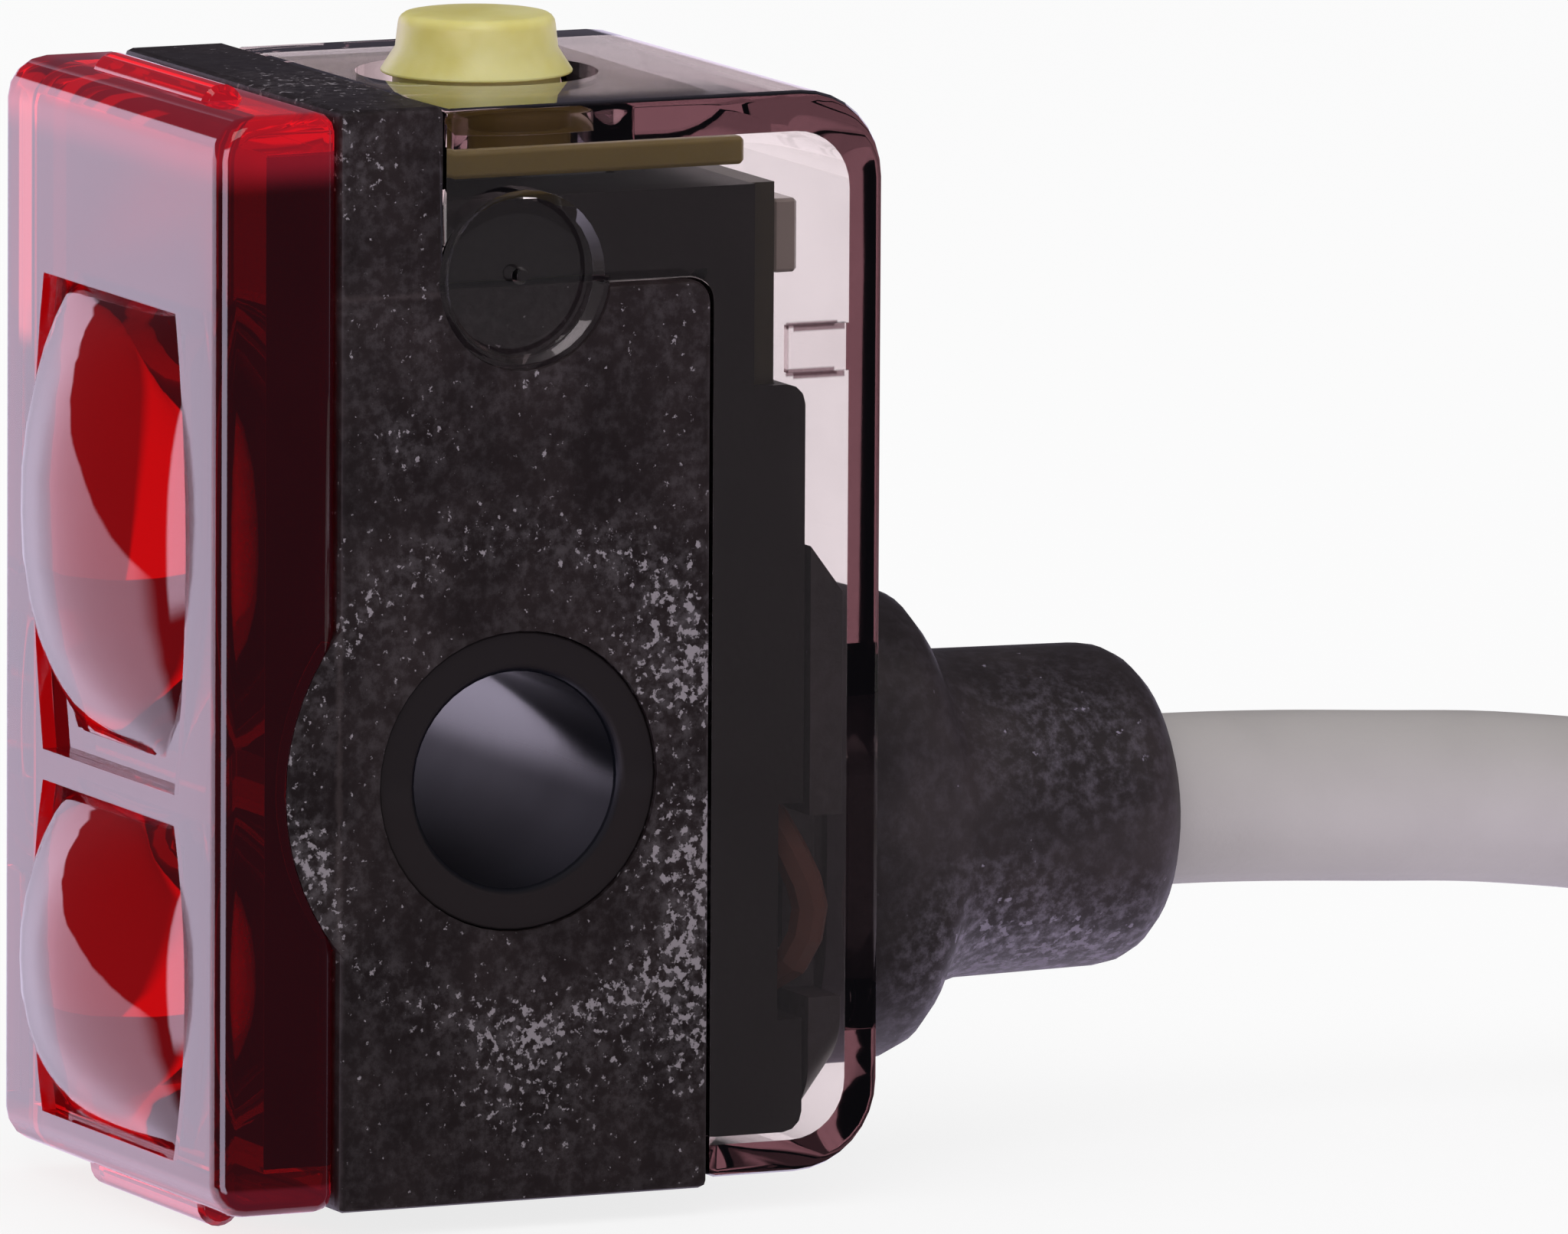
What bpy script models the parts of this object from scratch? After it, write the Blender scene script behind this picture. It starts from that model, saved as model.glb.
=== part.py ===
"""Miniature reflective optical sensor with a teach button and a short cable that ends in a round plug.

Metres, +Z up. The body frame has X across the width, Y from the flat of the window (front) to the rear,
and Z from the underside of the housing. The empty sensor_frame carries that frame and stands the
sensor on z = 0, with the origin under the middle of the sensor.
"""

from math import atan2, cos, pi, radians, sin, sqrt, tan

import bmesh
import bpy
from mathutils import Matrix, Vector

mm = 0.001

# Housing
BODY_WIDTH = 8.0 * mm
BODY_HEIGHT = 16.2 * mm
BODY_DEPTH = 10.65 * mm
SEAM = 0.015 * mm  # joint between housing pieces that are welded together
FIT = 0.05 * mm  # clearance of a piece that lies in another

# Window cover
WINDOW_DEPTH = 1.93 * mm
WINDOW_WALL = 0.6 * mm
WINDOW_FACE = 0.9 * mm
WINDOW_EDGE = 0.28 * mm
WINDOW_BROW = 0.6 * mm
WINDOW_SILL = 0.5 * mm
POCKET_DEPTH = 0.22 * mm
LENS_RISE = 1.1 * mm  # peak of a lens in front of the flat of the window
LENS_HALF_WIDTH = 2.72 * mm
LENS_END_HALF_WIDTH = 2.32 * mm
UPPER_LENS_TOP = 0.8117 * BODY_HEIGHT
UPPER_LENS_FOOT = 0.4 * BODY_HEIGHT
UPPER_POCKET_FOOT = 0.3753 * BODY_HEIGHT
LOWER_LENS_TOP = 0.3469 * BODY_HEIGHT
LOWER_LENS_FOOT = 0.68 * mm
SNAP_BAR_HALF_LENGTH = 2.05 * mm
SNAP_BAR_RADIUS = 0.34 * mm
UPPER_BAR_RISE = 0.22 * mm  # how far a snap bar stands out of the housing
LOWER_BAR_RISE = 0.42 * mm
SNAP_BAR_Y = 0.92 * mm

# Black body
BAND_REAR = 3.59 * mm
SHOULDER_HEIGHT = 0.8302 * BODY_HEIGHT
SHOULDER_REAR = 0.739 * BODY_DEPTH
SHOULDER_RADIUS = 0.35 * mm
BODY_EDGE = 0.12 * mm
BOSS_RADIUS = 3.7 * mm
BORE_Y = 0.45 * BODY_DEPTH
BORE_Z = 0.384 * BODY_HEIGHT
BORE_DIAMETER = 3.2 * mm  # clearance for an M3 screw
SLEEVE_DIAMETER = 3.9 * mm
FLANGE_DIAMETER = 4.4 * mm
FLANGE_THICKNESS = 0.4 * mm
FLANGE_SINK = 0.06 * mm
TUNNEL_HALF_WIDTH = 2.9 * mm
UPPER_TUNNEL_FLOOR = BORE_Z + FLANGE_DIAMETER / 2 + 0.58 * mm
LOWER_TUNNEL_FLOOR = 0.9 * mm
LOWER_TUNNEL_ROOF = BORE_Z - FLANGE_DIAMETER / 2 - 0.17 * mm
TUNNEL_ROOF_WALL = 0.6 * mm

# Clear housing
CLEAR_SIDE_STEP = 0.06 * mm  # how far its faces lie inside those of the black body
CLEAR_FOOT = 0.13 * mm
CLEAR_SIDE_WALL = 0.43 * mm
CLEAR_REAR_WALL = 0.45 * mm
CLEAR_TOP_WALL = 0.62 * mm
CLEAR_CORNER = 1.32 * mm
GATE_Y = BAND_REAR + 1.29 * mm
GATE_Z = SHOULDER_HEIGHT + 0.18 * mm
GATE_TAB_RADIUS = 1.36 * mm
GATE_RADIUS = 1.22 * mm
GATE_DEPTH = 0.2 * mm
GATE_NUB = 0.13 * mm
RIB_FOOT = SHOULDER_HEIGHT - 1.5 * mm
RIB_HEIGHT = 0.7 * mm
RIB_RISE = 0.16 * mm  # how far the pad of the rib stands in from the side wall

# Teach button
BUTTON_HOLE_DIAMETER = 3.58 * mm
BUTTON_NECK_DIAMETER = 2.47 * mm
BUTTON_SKIRT_DIAMETER = 2.84 * mm
BUTTON_CAP_DIAMETER = 2.4 * mm
BUTTON_RISE = 0.84 * mm  # top of the cap above the top of the housing
BUTTON_TRAVEL = 0.25 * mm
PLATE_THICKNESS = 0.42 * mm
PLATE_HALF_WIDTH = 3.38 * mm
PLATE_FRONT = BAND_REAR + 0.13 * mm
SWITCH_WIDTH = 2.9 * mm
SWITCH_HEIGHT = 1.15 * mm
PLUNGER_DIAMETER = 1.3 * mm
PLUNGER_GUIDE = 0.35 * mm  # how deep the plunger reaches into its base at rest

# Boards and parts on them
BOARD_THICKNESS = 0.4 * mm
BOARD_HALF_WIDTH = 2.8 * mm
MAIN_BOARD_REAR = BODY_DEPTH - 1.52 * mm
CARRIER_HALF_WIDTH = 3.4 * mm
CARRIER_STEP = RIB_FOOT - 0.18 * mm
CARRIER_REAR = BODY_DEPTH - 1.09 * mm
CARRIER_TOP_GAP = 0.04 * mm
CHIP_SIDE = 2.0 * mm
CHIP_HEIGHT = 0.75 * mm
TOWER_TOP_GAP = 1.05 * mm
DETECTOR_REAR = 4.9 * mm
CAPACITOR_SIDE = 0.5 * mm
CAPACITOR_LENGTH = 1.0 * mm
CAPACITOR_SPACING = 1.5 * mm
CONTROL_CHIP_SIDE = 3.0 * mm
CONTROL_CHIP_HEIGHT = 0.8 * mm
LAMP_WIDTH = 0.85 * mm
LAMP_HEIGHT = 1.09 * mm
LAMP_DEPTH = 0.4 * mm

# Gland and cable
GLAND_Z = 4.66 * mm
GLAND_RADIUS = 2.45 * mm
GLAND_END = BODY_DEPTH + 5.93 * mm
GLAND_HALF_WIDTH = 2.5 * mm
GLAND_HALF_HEIGHT = 3.55 * mm
GLAND_SHOULDER = BODY_DEPTH + 1.4 * mm
GLAND_TAPER = 0.04 * mm
GLAND_ROUND = 0.85 * mm
GLAND_SEAT_DEPTH = 2.0 * mm
FLANGE_HALF_WIDTH = 3.4 * mm
FLANGE_HALF_HEIGHT = 3.15 * mm
FLANGE_SLOPE = 0.7 * mm  # how much further its front edge reaches up and down
FLANGE_CORNER = 0.9 * mm
FLANGE_LIP = 4.7 * mm  # how far the lip on top of the flange stands above the gland's middle
CABLE_DIAMETER = 2.58 * mm
LEAD_DIAMETER = 0.55 * mm
COIL_RADIUS = 13.2 * mm
COIL_Y = 39.4 * mm
COIL_LAYERS = 2

# Plug
PLUG_Y = 50.0 * mm
GRIP_LENGTH = 19.2 * mm
GRIP_DIAMETER = 10.2 * mm
RING_DIAMETER = 9.8 * mm
RING_LENGTH = 5.2 * mm
RING_TEETH = 24
THREAD_DIAMETER = 8.0 * mm
THREAD_LENGTH = 4.6 * mm
INSERT_DIAMETER = 6.4 * mm
PIN_DIAMETER = 1.0 * mm
PIN_CIRCLE = 2.9 * mm
PIN_LENGTH = 4.0 * mm

# Values that follow from the sizes above
HALF_WIDTH = BODY_WIDTH / 2
BASE_DROP = LOWER_BAR_RISE
CLEAR_HALF_WIDTH = HALF_WIDTH - CLEAR_SIDE_STEP
CLEAR_TOP = BODY_HEIGHT - CLEAR_SIDE_STEP
PLATE_TOP = CLEAR_TOP - CLEAR_TOP_WALL - FIT
PLATE_FOOT = PLATE_TOP - PLATE_THICKNESS
SWITCH_TOP = PLATE_FOOT - BUTTON_TRAVEL - FIT
SWITCH_BOARD_TOP = SWITCH_TOP - SWITCH_HEIGHT
CARRIER_TOP = PLATE_FOOT - BUTTON_TRAVEL - CARRIER_TOP_GAP
MAIN_BOARD_FRONT = MAIN_BOARD_REAR - BOARD_THICKNESS
MAIN_BOARD_FOOT = GLAND_Z + GLAND_HALF_HEIGHT - 0.26 * mm
BUTTON_Y = BAND_REAR + 0.4416 * (MAIN_BOARD_FRONT - BAND_REAR)
BUTTON_TOP = BODY_HEIGHT + BUTTON_RISE
PLATE_REAR = MAIN_BOARD_FRONT - 0.15 * mm
CARRIER_FOOT = CLEAR_FOOT + CLEAR_REAR_WALL + FIT * 2
TOWER_TOP = SHOULDER_HEIGHT - TOWER_TOP_GAP
EMITTER_Z = (LOWER_TUNNEL_FLOOR + LOWER_TUNNEL_ROOF) / 2
RECEIVER_Z = (UPPER_TUNNEL_FLOOR + TOWER_TOP) / 2
SENSOR_MIDDLE = (GLAND_END - LENS_RISE) / 2
CABLE_RADIUS = CABLE_DIAMETER / 2
FLOOR = -BASE_DROP

ROUND = 48
SMALL_ROUND = 20


def clear_scene():
    for obj in list(bpy.data.objects):
        bpy.data.objects.remove(obj, do_unlink=True)


def new_collection(name):
    collection = bpy.data.collections.new(name)
    bpy.context.scene.collection.children.link(collection)
    return collection


def new_material(name, colour, roughness, metallic=0.0, alpha=1.0, transmission=0.0):
    material = bpy.data.materials.new(name)
    material.use_nodes = True
    shader = material.node_tree.nodes["Principled BSDF"]
    shader.inputs["Base Color"].default_value = (*colour, 1.0)
    shader.inputs["Roughness"].default_value = roughness
    shader.inputs["Metallic"].default_value = metallic
    shader.inputs["Alpha"].default_value = alpha
    shader.inputs["Transmission Weight"].default_value = transmission
    material.diffuse_color = (*colour, alpha)
    return material


clear_scene()
parts = new_collection("optical_sensor")
cutters = new_collection("cutters")

RED_WINDOW = new_material("red_window", (0.45, 0.01, 0.02), 0.08, alpha=0.6, transmission=0.8)
BLACK_BODY = new_material("black_body", (0.02, 0.016, 0.018), 0.6)
BLACK_INSIDE = new_material("black_inside", (0.012, 0.01, 0.011), 0.5)
DARK_SLEEVE = new_material("dark_sleeve", (0.012, 0.012, 0.016), 0.15)
SMOKY_CLEAR = new_material("smoky_clear", (0.35, 0.28, 0.3), 0.1, alpha=0.4, transmission=0.9)
YELLOW_BUTTON = new_material("yellow_button", (0.55, 0.45, 0.07), 0.4)
BOARD_GREEN = new_material("board_green", (0.06, 0.07, 0.02), 0.5)
CHIP_BLACK = new_material("chip_black", (0.02, 0.02, 0.02), 0.45)
LED_RESIN = new_material("led_resin", (0.5, 0.45, 0.4), 0.2)
CERAMIC = new_material("ceramic", (0.35, 0.25, 0.16), 0.5)
CABLE_GREY = new_material("cable_grey", (0.42, 0.38, 0.38), 0.55)
PLUG_BLACK = new_material("plug_black", (0.018, 0.016, 0.017), 0.55)
NICKEL = new_material("nickel", (0.6, 0.58, 0.55), 0.25, metallic=1.0)
GOLD = new_material("gold", (0.85, 0.6, 0.2), 0.25, metallic=1.0)
SEAL_RED = new_material("seal_red", (0.4, 0.05, 0.03), 0.5)
LEAD_COLOURS = {
    "brown": new_material("lead_brown", (0.2, 0.06, 0.02), 0.4),
    "white": new_material("lead_white", (0.7, 0.7, 0.68), 0.4),
    "blue": new_material("lead_blue", (0.03, 0.1, 0.45), 0.4),
    "black": new_material("lead_black", (0.015, 0.015, 0.015), 0.4),
}

frame = bpy.data.objects.new("sensor_frame", None)
frame.location = (0, -SENSOR_MIDDLE, BASE_DROP)
parts.objects.link(frame)


def add_object(name, mesh, material=None):
    """A new object in the body frame: a part when it has a material, otherwise a cutter."""
    obj = bpy.data.objects.new(name, mesh)
    obj.parent = frame
    if material is None:
        cutters.objects.link(obj)
        obj.hide_render = True
        obj.display_type = "WIRE"
    else:
        parts.objects.link(obj)
        mesh.materials.append(material)
    return obj


def from_bmesh(name, shape, material=None):
    bmesh.ops.recalc_face_normals(shape, faces=shape.faces)
    mesh = bpy.data.meshes.new(name)
    shape.to_mesh(mesh)
    shape.free()
    return add_object(name, mesh, material)


def box(name, low, high, material=None, edge=0.0, rounded_along=None, segments=2):
    """A block between two corners, with its edges along the given axes rounded."""
    shape = bmesh.new()
    bmesh.ops.create_cube(shape, size=1.0)
    size = [b - a for a, b in zip(low, high)]
    middle = [(a + b) / 2 for a, b in zip(low, high)]
    bmesh.ops.scale(shape, vec=size, verts=shape.verts)
    bmesh.ops.translate(shape, vec=middle, verts=shape.verts)
    if edge > 0:
        chosen = [e for e in shape.edges if runs_along(e, rounded_along or "XYZ")]
        bmesh.ops.bevel(shape, geom=chosen, offset=edge, segments=segments, profile=0.5, affect="EDGES")
    return from_bmesh(name, shape, material)


def runs_along(edge, axes):
    way = edge.verts[1].co - edge.verts[0].co
    longest = max(range(3), key=lambda i: abs(way[i]))
    return "XYZ"[longest] in axes


def point_along(obj, axis, place):
    """Turns local +Z of an object to +X, +Y or +Z of the body frame and puts its origin at a place."""
    obj.rotation_euler = {"X": (0, pi / 2, 0), "Y": (-pi / 2, 0, 0), "Z": (0, 0, 0)}[axis]
    obj.location = place
    return obj


def rod(name, axis, foot, radius, length, material=None, sides=ROUND):
    """A cylinder that starts at foot and runs along an axis."""
    shape = bmesh.new()
    bmesh.ops.create_cone(
        shape,
        cap_ends=True,
        segments=sides,
        radius1=radius,
        radius2=radius,
        depth=length,
        matrix=Matrix.Translation((0, 0, length / 2)),
    )
    return point_along(from_bmesh(name, shape, material), axis, foot)


def turned(name, axis, place, profile, material=None, sides=ROUND, closed=False):
    """A profile of (radius, height) points, running down its outer side, turned about its axis."""
    mesh = bpy.data.meshes.new(name)
    count = len(profile)
    edges = [(i, i + 1) for i in range(count - 1)]
    if closed:
        edges.append((count - 1, 0))
    mesh.from_pydata([(radius, 0, height) for radius, height in profile], edges, [])
    obj = add_object(name, mesh, material)
    screw = obj.modifiers.new("turn", "SCREW")
    screw.steps = screw.render_steps = sides
    screw.use_merge_vertices = True
    screw.merge_threshold = 0.00001 * mm
    return point_along(obj, axis, place)


def slab(name, outline, half_width, material=None, near=None):
    """An outline of (y, z) points extruded across X, over +-half_width or from near to half_width."""
    shape = bmesh.new()
    start = -half_width if near is None else near
    face = shape.faces.new([shape.verts.new((start, y, z)) for y, z in outline])
    grown = bmesh.ops.extrude_face_region(shape, geom=[face])["geom"]
    moved = [part for part in grown if isinstance(part, bmesh.types.BMVert)]
    bmesh.ops.translate(shape, vec=(half_width - start, 0, 0), verts=moved)
    return from_bmesh(name, shape, material)


def filleted(corners, steps=6):
    """The outline of (y, z, radius) corners with each radius drawn as an arc."""
    outline = []
    for i, (y, z, radius) in enumerate(corners):
        here = Vector((y, z))
        before = (Vector(corners[i - 1][:2]) - here).normalized()
        after = (Vector(corners[(i + 1) % len(corners)][:2]) - here).normalized()
        if radius <= 0:
            outline.append((y, z))
            continue
        half = before.angle(after) / 2
        centre = here + (before + after).normalized() * (radius / sin(half))
        first = here + before * (radius / tan(half)) - centre
        last = here + after * (radius / tan(half)) - centre
        start = atan2(first.y, first.x)
        sweep = (atan2(last.y, last.x) - start + pi) % (2 * pi) - pi
        for k in range(steps + 1):
            angle = start + sweep * k / steps
            outline.append((centre.x + radius * cos(angle), centre.y + radius * sin(angle)))
    return outline


def combine(obj, other, operation):
    modifier = obj.modifiers.new(other.name, "BOOLEAN")
    modifier.operation = operation
    modifier.object = other
    modifier.solver = "EXACT"


def cut(obj, *others):
    for other in others:
        combine(obj, other, "DIFFERENCE")


def join(obj, *others):
    for other in others:
        combine(obj, other, "UNION")


def smooth(obj, angle=radians(35)):
    obj.data.shade_smooth()
    obj.data.set_sharp_from_angle(angle=angle)


def tube(name, points, radius, material, sides=3):
    """A cord through points, read from a smooth curve and closed at both ends."""
    curve = bpy.data.curves.new(name, "CURVE")
    curve.dimensions = "3D"
    curve.bevel_depth = radius
    curve.bevel_resolution = sides
    curve.use_fill_caps = True
    spline = curve.splines.new("POLY")
    spline.points.add(len(points) - 1)
    for place, point in zip(points, spline.points):
        point.co = (*place, 1)
    obj = bpy.data.objects.new(name, curve)
    obj.parent = frame
    parts.objects.link(obj)
    curve.materials.append(material)
    return obj


def smooth_route(route, spacing):
    """Points at about one spacing along a Catmull-Rom curve through a route's points."""
    ends = [route[0] * 2 - route[1], *route, route[-1] * 2 - route[-2]]
    points = []
    for a, b, c, d in zip(ends, ends[1:], ends[2:], ends[3:]):
        count = max(1, round((c - b).length / spacing))
        for k in range(count):
            t = k / count
            points.append(
                0.5
                * (2 * b + (c - a) * t + (2 * a - 5 * b + 4 * c - d) * t**2 + (3 * b - a - 3 * c + d) * t**3)
            )
    return [*points, route[-1]]


def lens_half_width(height, narrow_foot):
    """Half the width of a lens at a height of 0 (foot) to 1 (top): a barrel, drawn in at its foot."""
    across = 2 * height - 1
    barrel = LENS_END_HALF_WIDTH + (LENS_HALF_WIDTH - LENS_END_HALF_WIDTH) * (1 - across**2)
    return barrel * (1 - narrow_foot * (1 - height) ** 4)


def lens(name, foot, top, narrow_foot, columns=12, rows=16):
    """An aspheric dome over a barrel outline, closed by a flat back inside the window's face."""
    back = WINDOW_FACE / 2
    floor = POCKET_DEPTH
    shape = bmesh.new()
    front = []
    behind = []
    for row in range(rows + 1):
        height = (1 - cos(pi * row / rows)) / 2
        reach = lens_half_width(height, narrow_foot)
        z = foot + (top - foot) * height
        for column in range(columns + 1):
            across = -cos(pi * column / columns)
            rise = (1 - across**2) ** 0.8 * (1 - abs(2 * height - 1) ** 2.4) ** 0.8
            front.append(shape.verts.new((reach * across, floor - (floor + LENS_RISE) * rise, z)))
            behind.append(shape.verts.new((reach * across, back, z)))
    wide = columns + 1
    for row in range(rows):
        for column in range(columns):
            corner = row * wide + column
            ring = (corner, corner + 1, corner + wide + 1, corner + wide)
            shape.faces.new([front[i] for i in ring])
            shape.faces.new([behind[i] for i in reversed(ring)])
    rim = [row * wide for row in range(rows + 1)]
    rim += [rows * wide + column for column in range(1, wide)]
    rim += [row * wide + columns for row in range(rows - 1, -1, -1)]
    rim += list(range(columns - 1, 0, -1))
    for a, b in zip(rim, rim[1:] + rim[:1]):
        shape.faces.new([front[a], front[b], behind[b], behind[a]])
    return from_bmesh(name, shape)


def pocket(name, foot, top):
    """The shallow recess that a lens stands in, with the lens's barrel outline a little larger."""
    margin = FIT * 2
    steps = 10
    side = []
    for k in range(steps + 1):
        height = k / steps
        side.append((lens_half_width(height, 0) + margin, foot + (top - foot) * height))
    outline = side + [(-x, z) for x, z in reversed(side)]
    shape = bmesh.new()
    face = shape.faces.new([shape.verts.new((x, -LENS_RISE, z)) for x, z in outline])
    grown = bmesh.ops.extrude_face_region(shape, geom=[face])["geom"]
    moved = [part for part in grown if isinstance(part, bmesh.types.BMVert)]
    bmesh.ops.translate(shape, vec=(0, LENS_RISE + POCKET_DEPTH, 0), verts=moved)
    return from_bmesh(name, shape)


def snap_bar(name, height):
    """A round bar across the top or the underside of the window."""
    bar = rod(
        name,
        "X",
        (-SNAP_BAR_HALF_LENGTH, SNAP_BAR_Y, height),
        SNAP_BAR_RADIUS,
        2 * SNAP_BAR_HALF_LENGTH,
        sides=SMALL_ROUND,
    )
    bar.modifiers.new("rounded_ends", "BEVEL").width = 0.08 * mm
    return bar


def window_cover():
    foot = SEAM
    top = BODY_HEIGHT - SEAM
    corners = [
        (0, foot, WINDOW_SILL),
        (WINDOW_DEPTH - SEAM, foot, 0),
        (WINDOW_DEPTH - SEAM, top, 0),
        (0, top, WINDOW_BROW),
    ]
    cover = slab("window_cover", filleted(corners, 4), HALF_WIDTH, RED_WINDOW)
    edge = cover.modifiers.new("edges", "BEVEL")
    edge.width = WINDOW_EDGE
    edge.segments = 3
    edge.limit_method = "ANGLE"
    edge.angle_limit = radians(50)
    inside = box(
        "window_inside",
        (-HALF_WIDTH + WINDOW_WALL, WINDOW_FACE, foot + WINDOW_WALL),
        (HALF_WIDTH - WINDOW_WALL, WINDOW_DEPTH + 1 * mm, top - WINDOW_WALL),
    )
    cut(cover, inside)
    cut(cover, pocket("upper_pocket", UPPER_POCKET_FOOT, UPPER_LENS_TOP))
    cut(cover, pocket("lower_pocket", LOWER_LENS_FOOT, LOWER_LENS_TOP))
    join(cover, lens("upper_lens", UPPER_LENS_FOOT, UPPER_LENS_TOP, 0.3))
    join(cover, lens("lower_lens", LOWER_LENS_FOOT + FIT, LOWER_LENS_TOP, 0.12))
    join(cover, snap_bar("upper_bar", BODY_HEIGHT + UPPER_BAR_RISE - SNAP_BAR_RADIUS))
    join(cover, snap_bar("lower_bar", SNAP_BAR_RADIUS - LOWER_BAR_RISE))
    side_wall = WINDOW_WALL + FIT
    for start in (-HALF_WIDTH - 1 * mm, HALF_WIDTH - side_wall):
        middle = (start, BORE_Y, BORE_Z)
        cut(cover, rod("window_boss", "X", middle, BOSS_RADIUS + SEAM, side_wall + 1 * mm, sides=64))
    smooth(cover)
    return cover


def main_body():
    corners = [
        (WINDOW_DEPTH, 0, 0),
        (SHOULDER_REAR, 0, 0),
        (SHOULDER_REAR, SHOULDER_HEIGHT, SHOULDER_RADIUS),
        (BAND_REAR, SHOULDER_HEIGHT, 0),
        (BAND_REAR, BODY_HEIGHT, 0),
        (WINDOW_DEPTH, BODY_HEIGHT, 0),
    ]
    body = slab("main_body", filleted(corners), HALF_WIDTH, BLACK_BODY)
    edge = body.modifiers.new("edges", "BEVEL")
    edge.width = BODY_EDGE
    edge.segments = 2
    edge.limit_method = "ANGLE"
    edge.angle_limit = radians(50)
    for side, name in ((-1, "far"), (1, "near")):
        inner = side * (HALF_WIDTH - WINDOW_WALL + FIT)
        join(body, slab("boss_" + name, boss_outline(), side * HALF_WIDTH, near=inner))
    front_pocket = box(
        "front_pocket",
        (-HALF_WIDTH + WINDOW_WALL, WINDOW_DEPTH - 1 * mm, WINDOW_WALL),
        (HALF_WIDTH - WINDOW_WALL, WINDOW_DEPTH + 0.32 * mm, BODY_HEIGHT - WINDOW_WALL),
    )
    upper_front = box(
        "upper_tunnel_front",
        (-TUNNEL_HALF_WIDTH, WINDOW_DEPTH, UPPER_TUNNEL_FLOOR),
        (TUNNEL_HALF_WIDTH, BAND_REAR + 0.5 * mm, SHOULDER_HEIGHT - TUNNEL_ROOF_WALL),
    )
    upper_rear = box(
        "upper_tunnel_rear",
        (-TUNNEL_HALF_WIDTH, BAND_REAR + FIT, UPPER_TUNNEL_FLOOR),
        (TUNNEL_HALF_WIDTH, SHOULDER_REAR + 1 * mm, SHOULDER_HEIGHT + 1 * mm),
    )
    lower = box(
        "lower_tunnel",
        (-TUNNEL_HALF_WIDTH, WINDOW_DEPTH, LOWER_TUNNEL_FLOOR),
        (TUNNEL_HALF_WIDTH, SHOULDER_REAR + 1 * mm, LOWER_TUNNEL_ROOF),
    )
    cut(body, front_pocket, upper_front, upper_rear, lower)
    hole = turned(
        "sleeve_seat",
        "X",
        (0, BORE_Y, BORE_Z),
        sleeve_outline(SEAM, HALF_WIDTH + 1 * mm),
    )
    cut(body, hole)
    for side, name in ((-1, "far"), (1, "near")):
        depth = CLEAR_SIDE_WALL + CLEAR_SIDE_STEP + FIT
        start = -HALF_WIDTH - 1 * mm if side < 0 else HALF_WIDTH - depth
        notch = rod(
            "gate_notch_" + name,
            "X",
            (start, GATE_Y, GATE_Z),
            GATE_TAB_RADIUS + SEAM,
            depth + 1 * mm,
        )
        cut(body, notch)
    smooth(body)
    return body


def boss_outline(steps=32):
    """The front half of the round boss about the bore, which stands into the window's side wall."""
    outline = []
    for k in range(steps + 1):
        angle = pi / 2 + pi * k / steps
        outline.append((BORE_Y + BOSS_RADIUS * cos(angle), BORE_Z + BOSS_RADIUS * sin(angle)))
    return outline


def sleeve_outline(margin, end):
    """The outer side of the flanged sleeve, from the axis at +end down to the axis at -end."""
    reach = HALF_WIDTH - FLANGE_THICKNESS - margin
    flange = FLANGE_DIAMETER / 2 + margin
    barrel = SLEEVE_DIAMETER / 2 + margin
    return [
        (0, end),
        (flange, end),
        (flange, reach),
        (barrel, reach),
        (barrel, -reach),
        (flange, -reach),
        (flange, -end),
        (0, -end),
    ]


def mounting_sleeve():
    end = HALF_WIDTH - FLANGE_SINK
    chamfer = 0.1 * mm
    bore = BORE_DIAMETER / 2
    outer = sleeve_outline(0, end)[1:-1]
    profile = [
        (bore, end - chamfer),
        (bore + chamfer, end),
        *outer,
        (bore + chamfer, -end),
        (bore, -end + chamfer),
    ]
    sleeve = turned("mounting_sleeve", "X", (0, BORE_Y, BORE_Z), profile, DARK_SLEEVE, closed=True)
    smooth(sleeve)
    return sleeve


def clear_outline(inset, rear_wall, top, foot, corner):
    rear = BODY_DEPTH - rear_wall
    front = BAND_REAR + SEAM - inset
    lower_front = SHOULDER_REAR + SEAM - inset
    shoulder = SHOULDER_HEIGHT + SEAM - inset
    return filleted(
        [
            (front, shoulder, 0),
            (lower_front, shoulder, 0 if inset else SHOULDER_RADIUS + SEAM),
            (lower_front, foot, 0),
            (rear, foot, corner),
            (rear, top, corner),
            (front, top, 0),
        ],
        8,
    )


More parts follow.
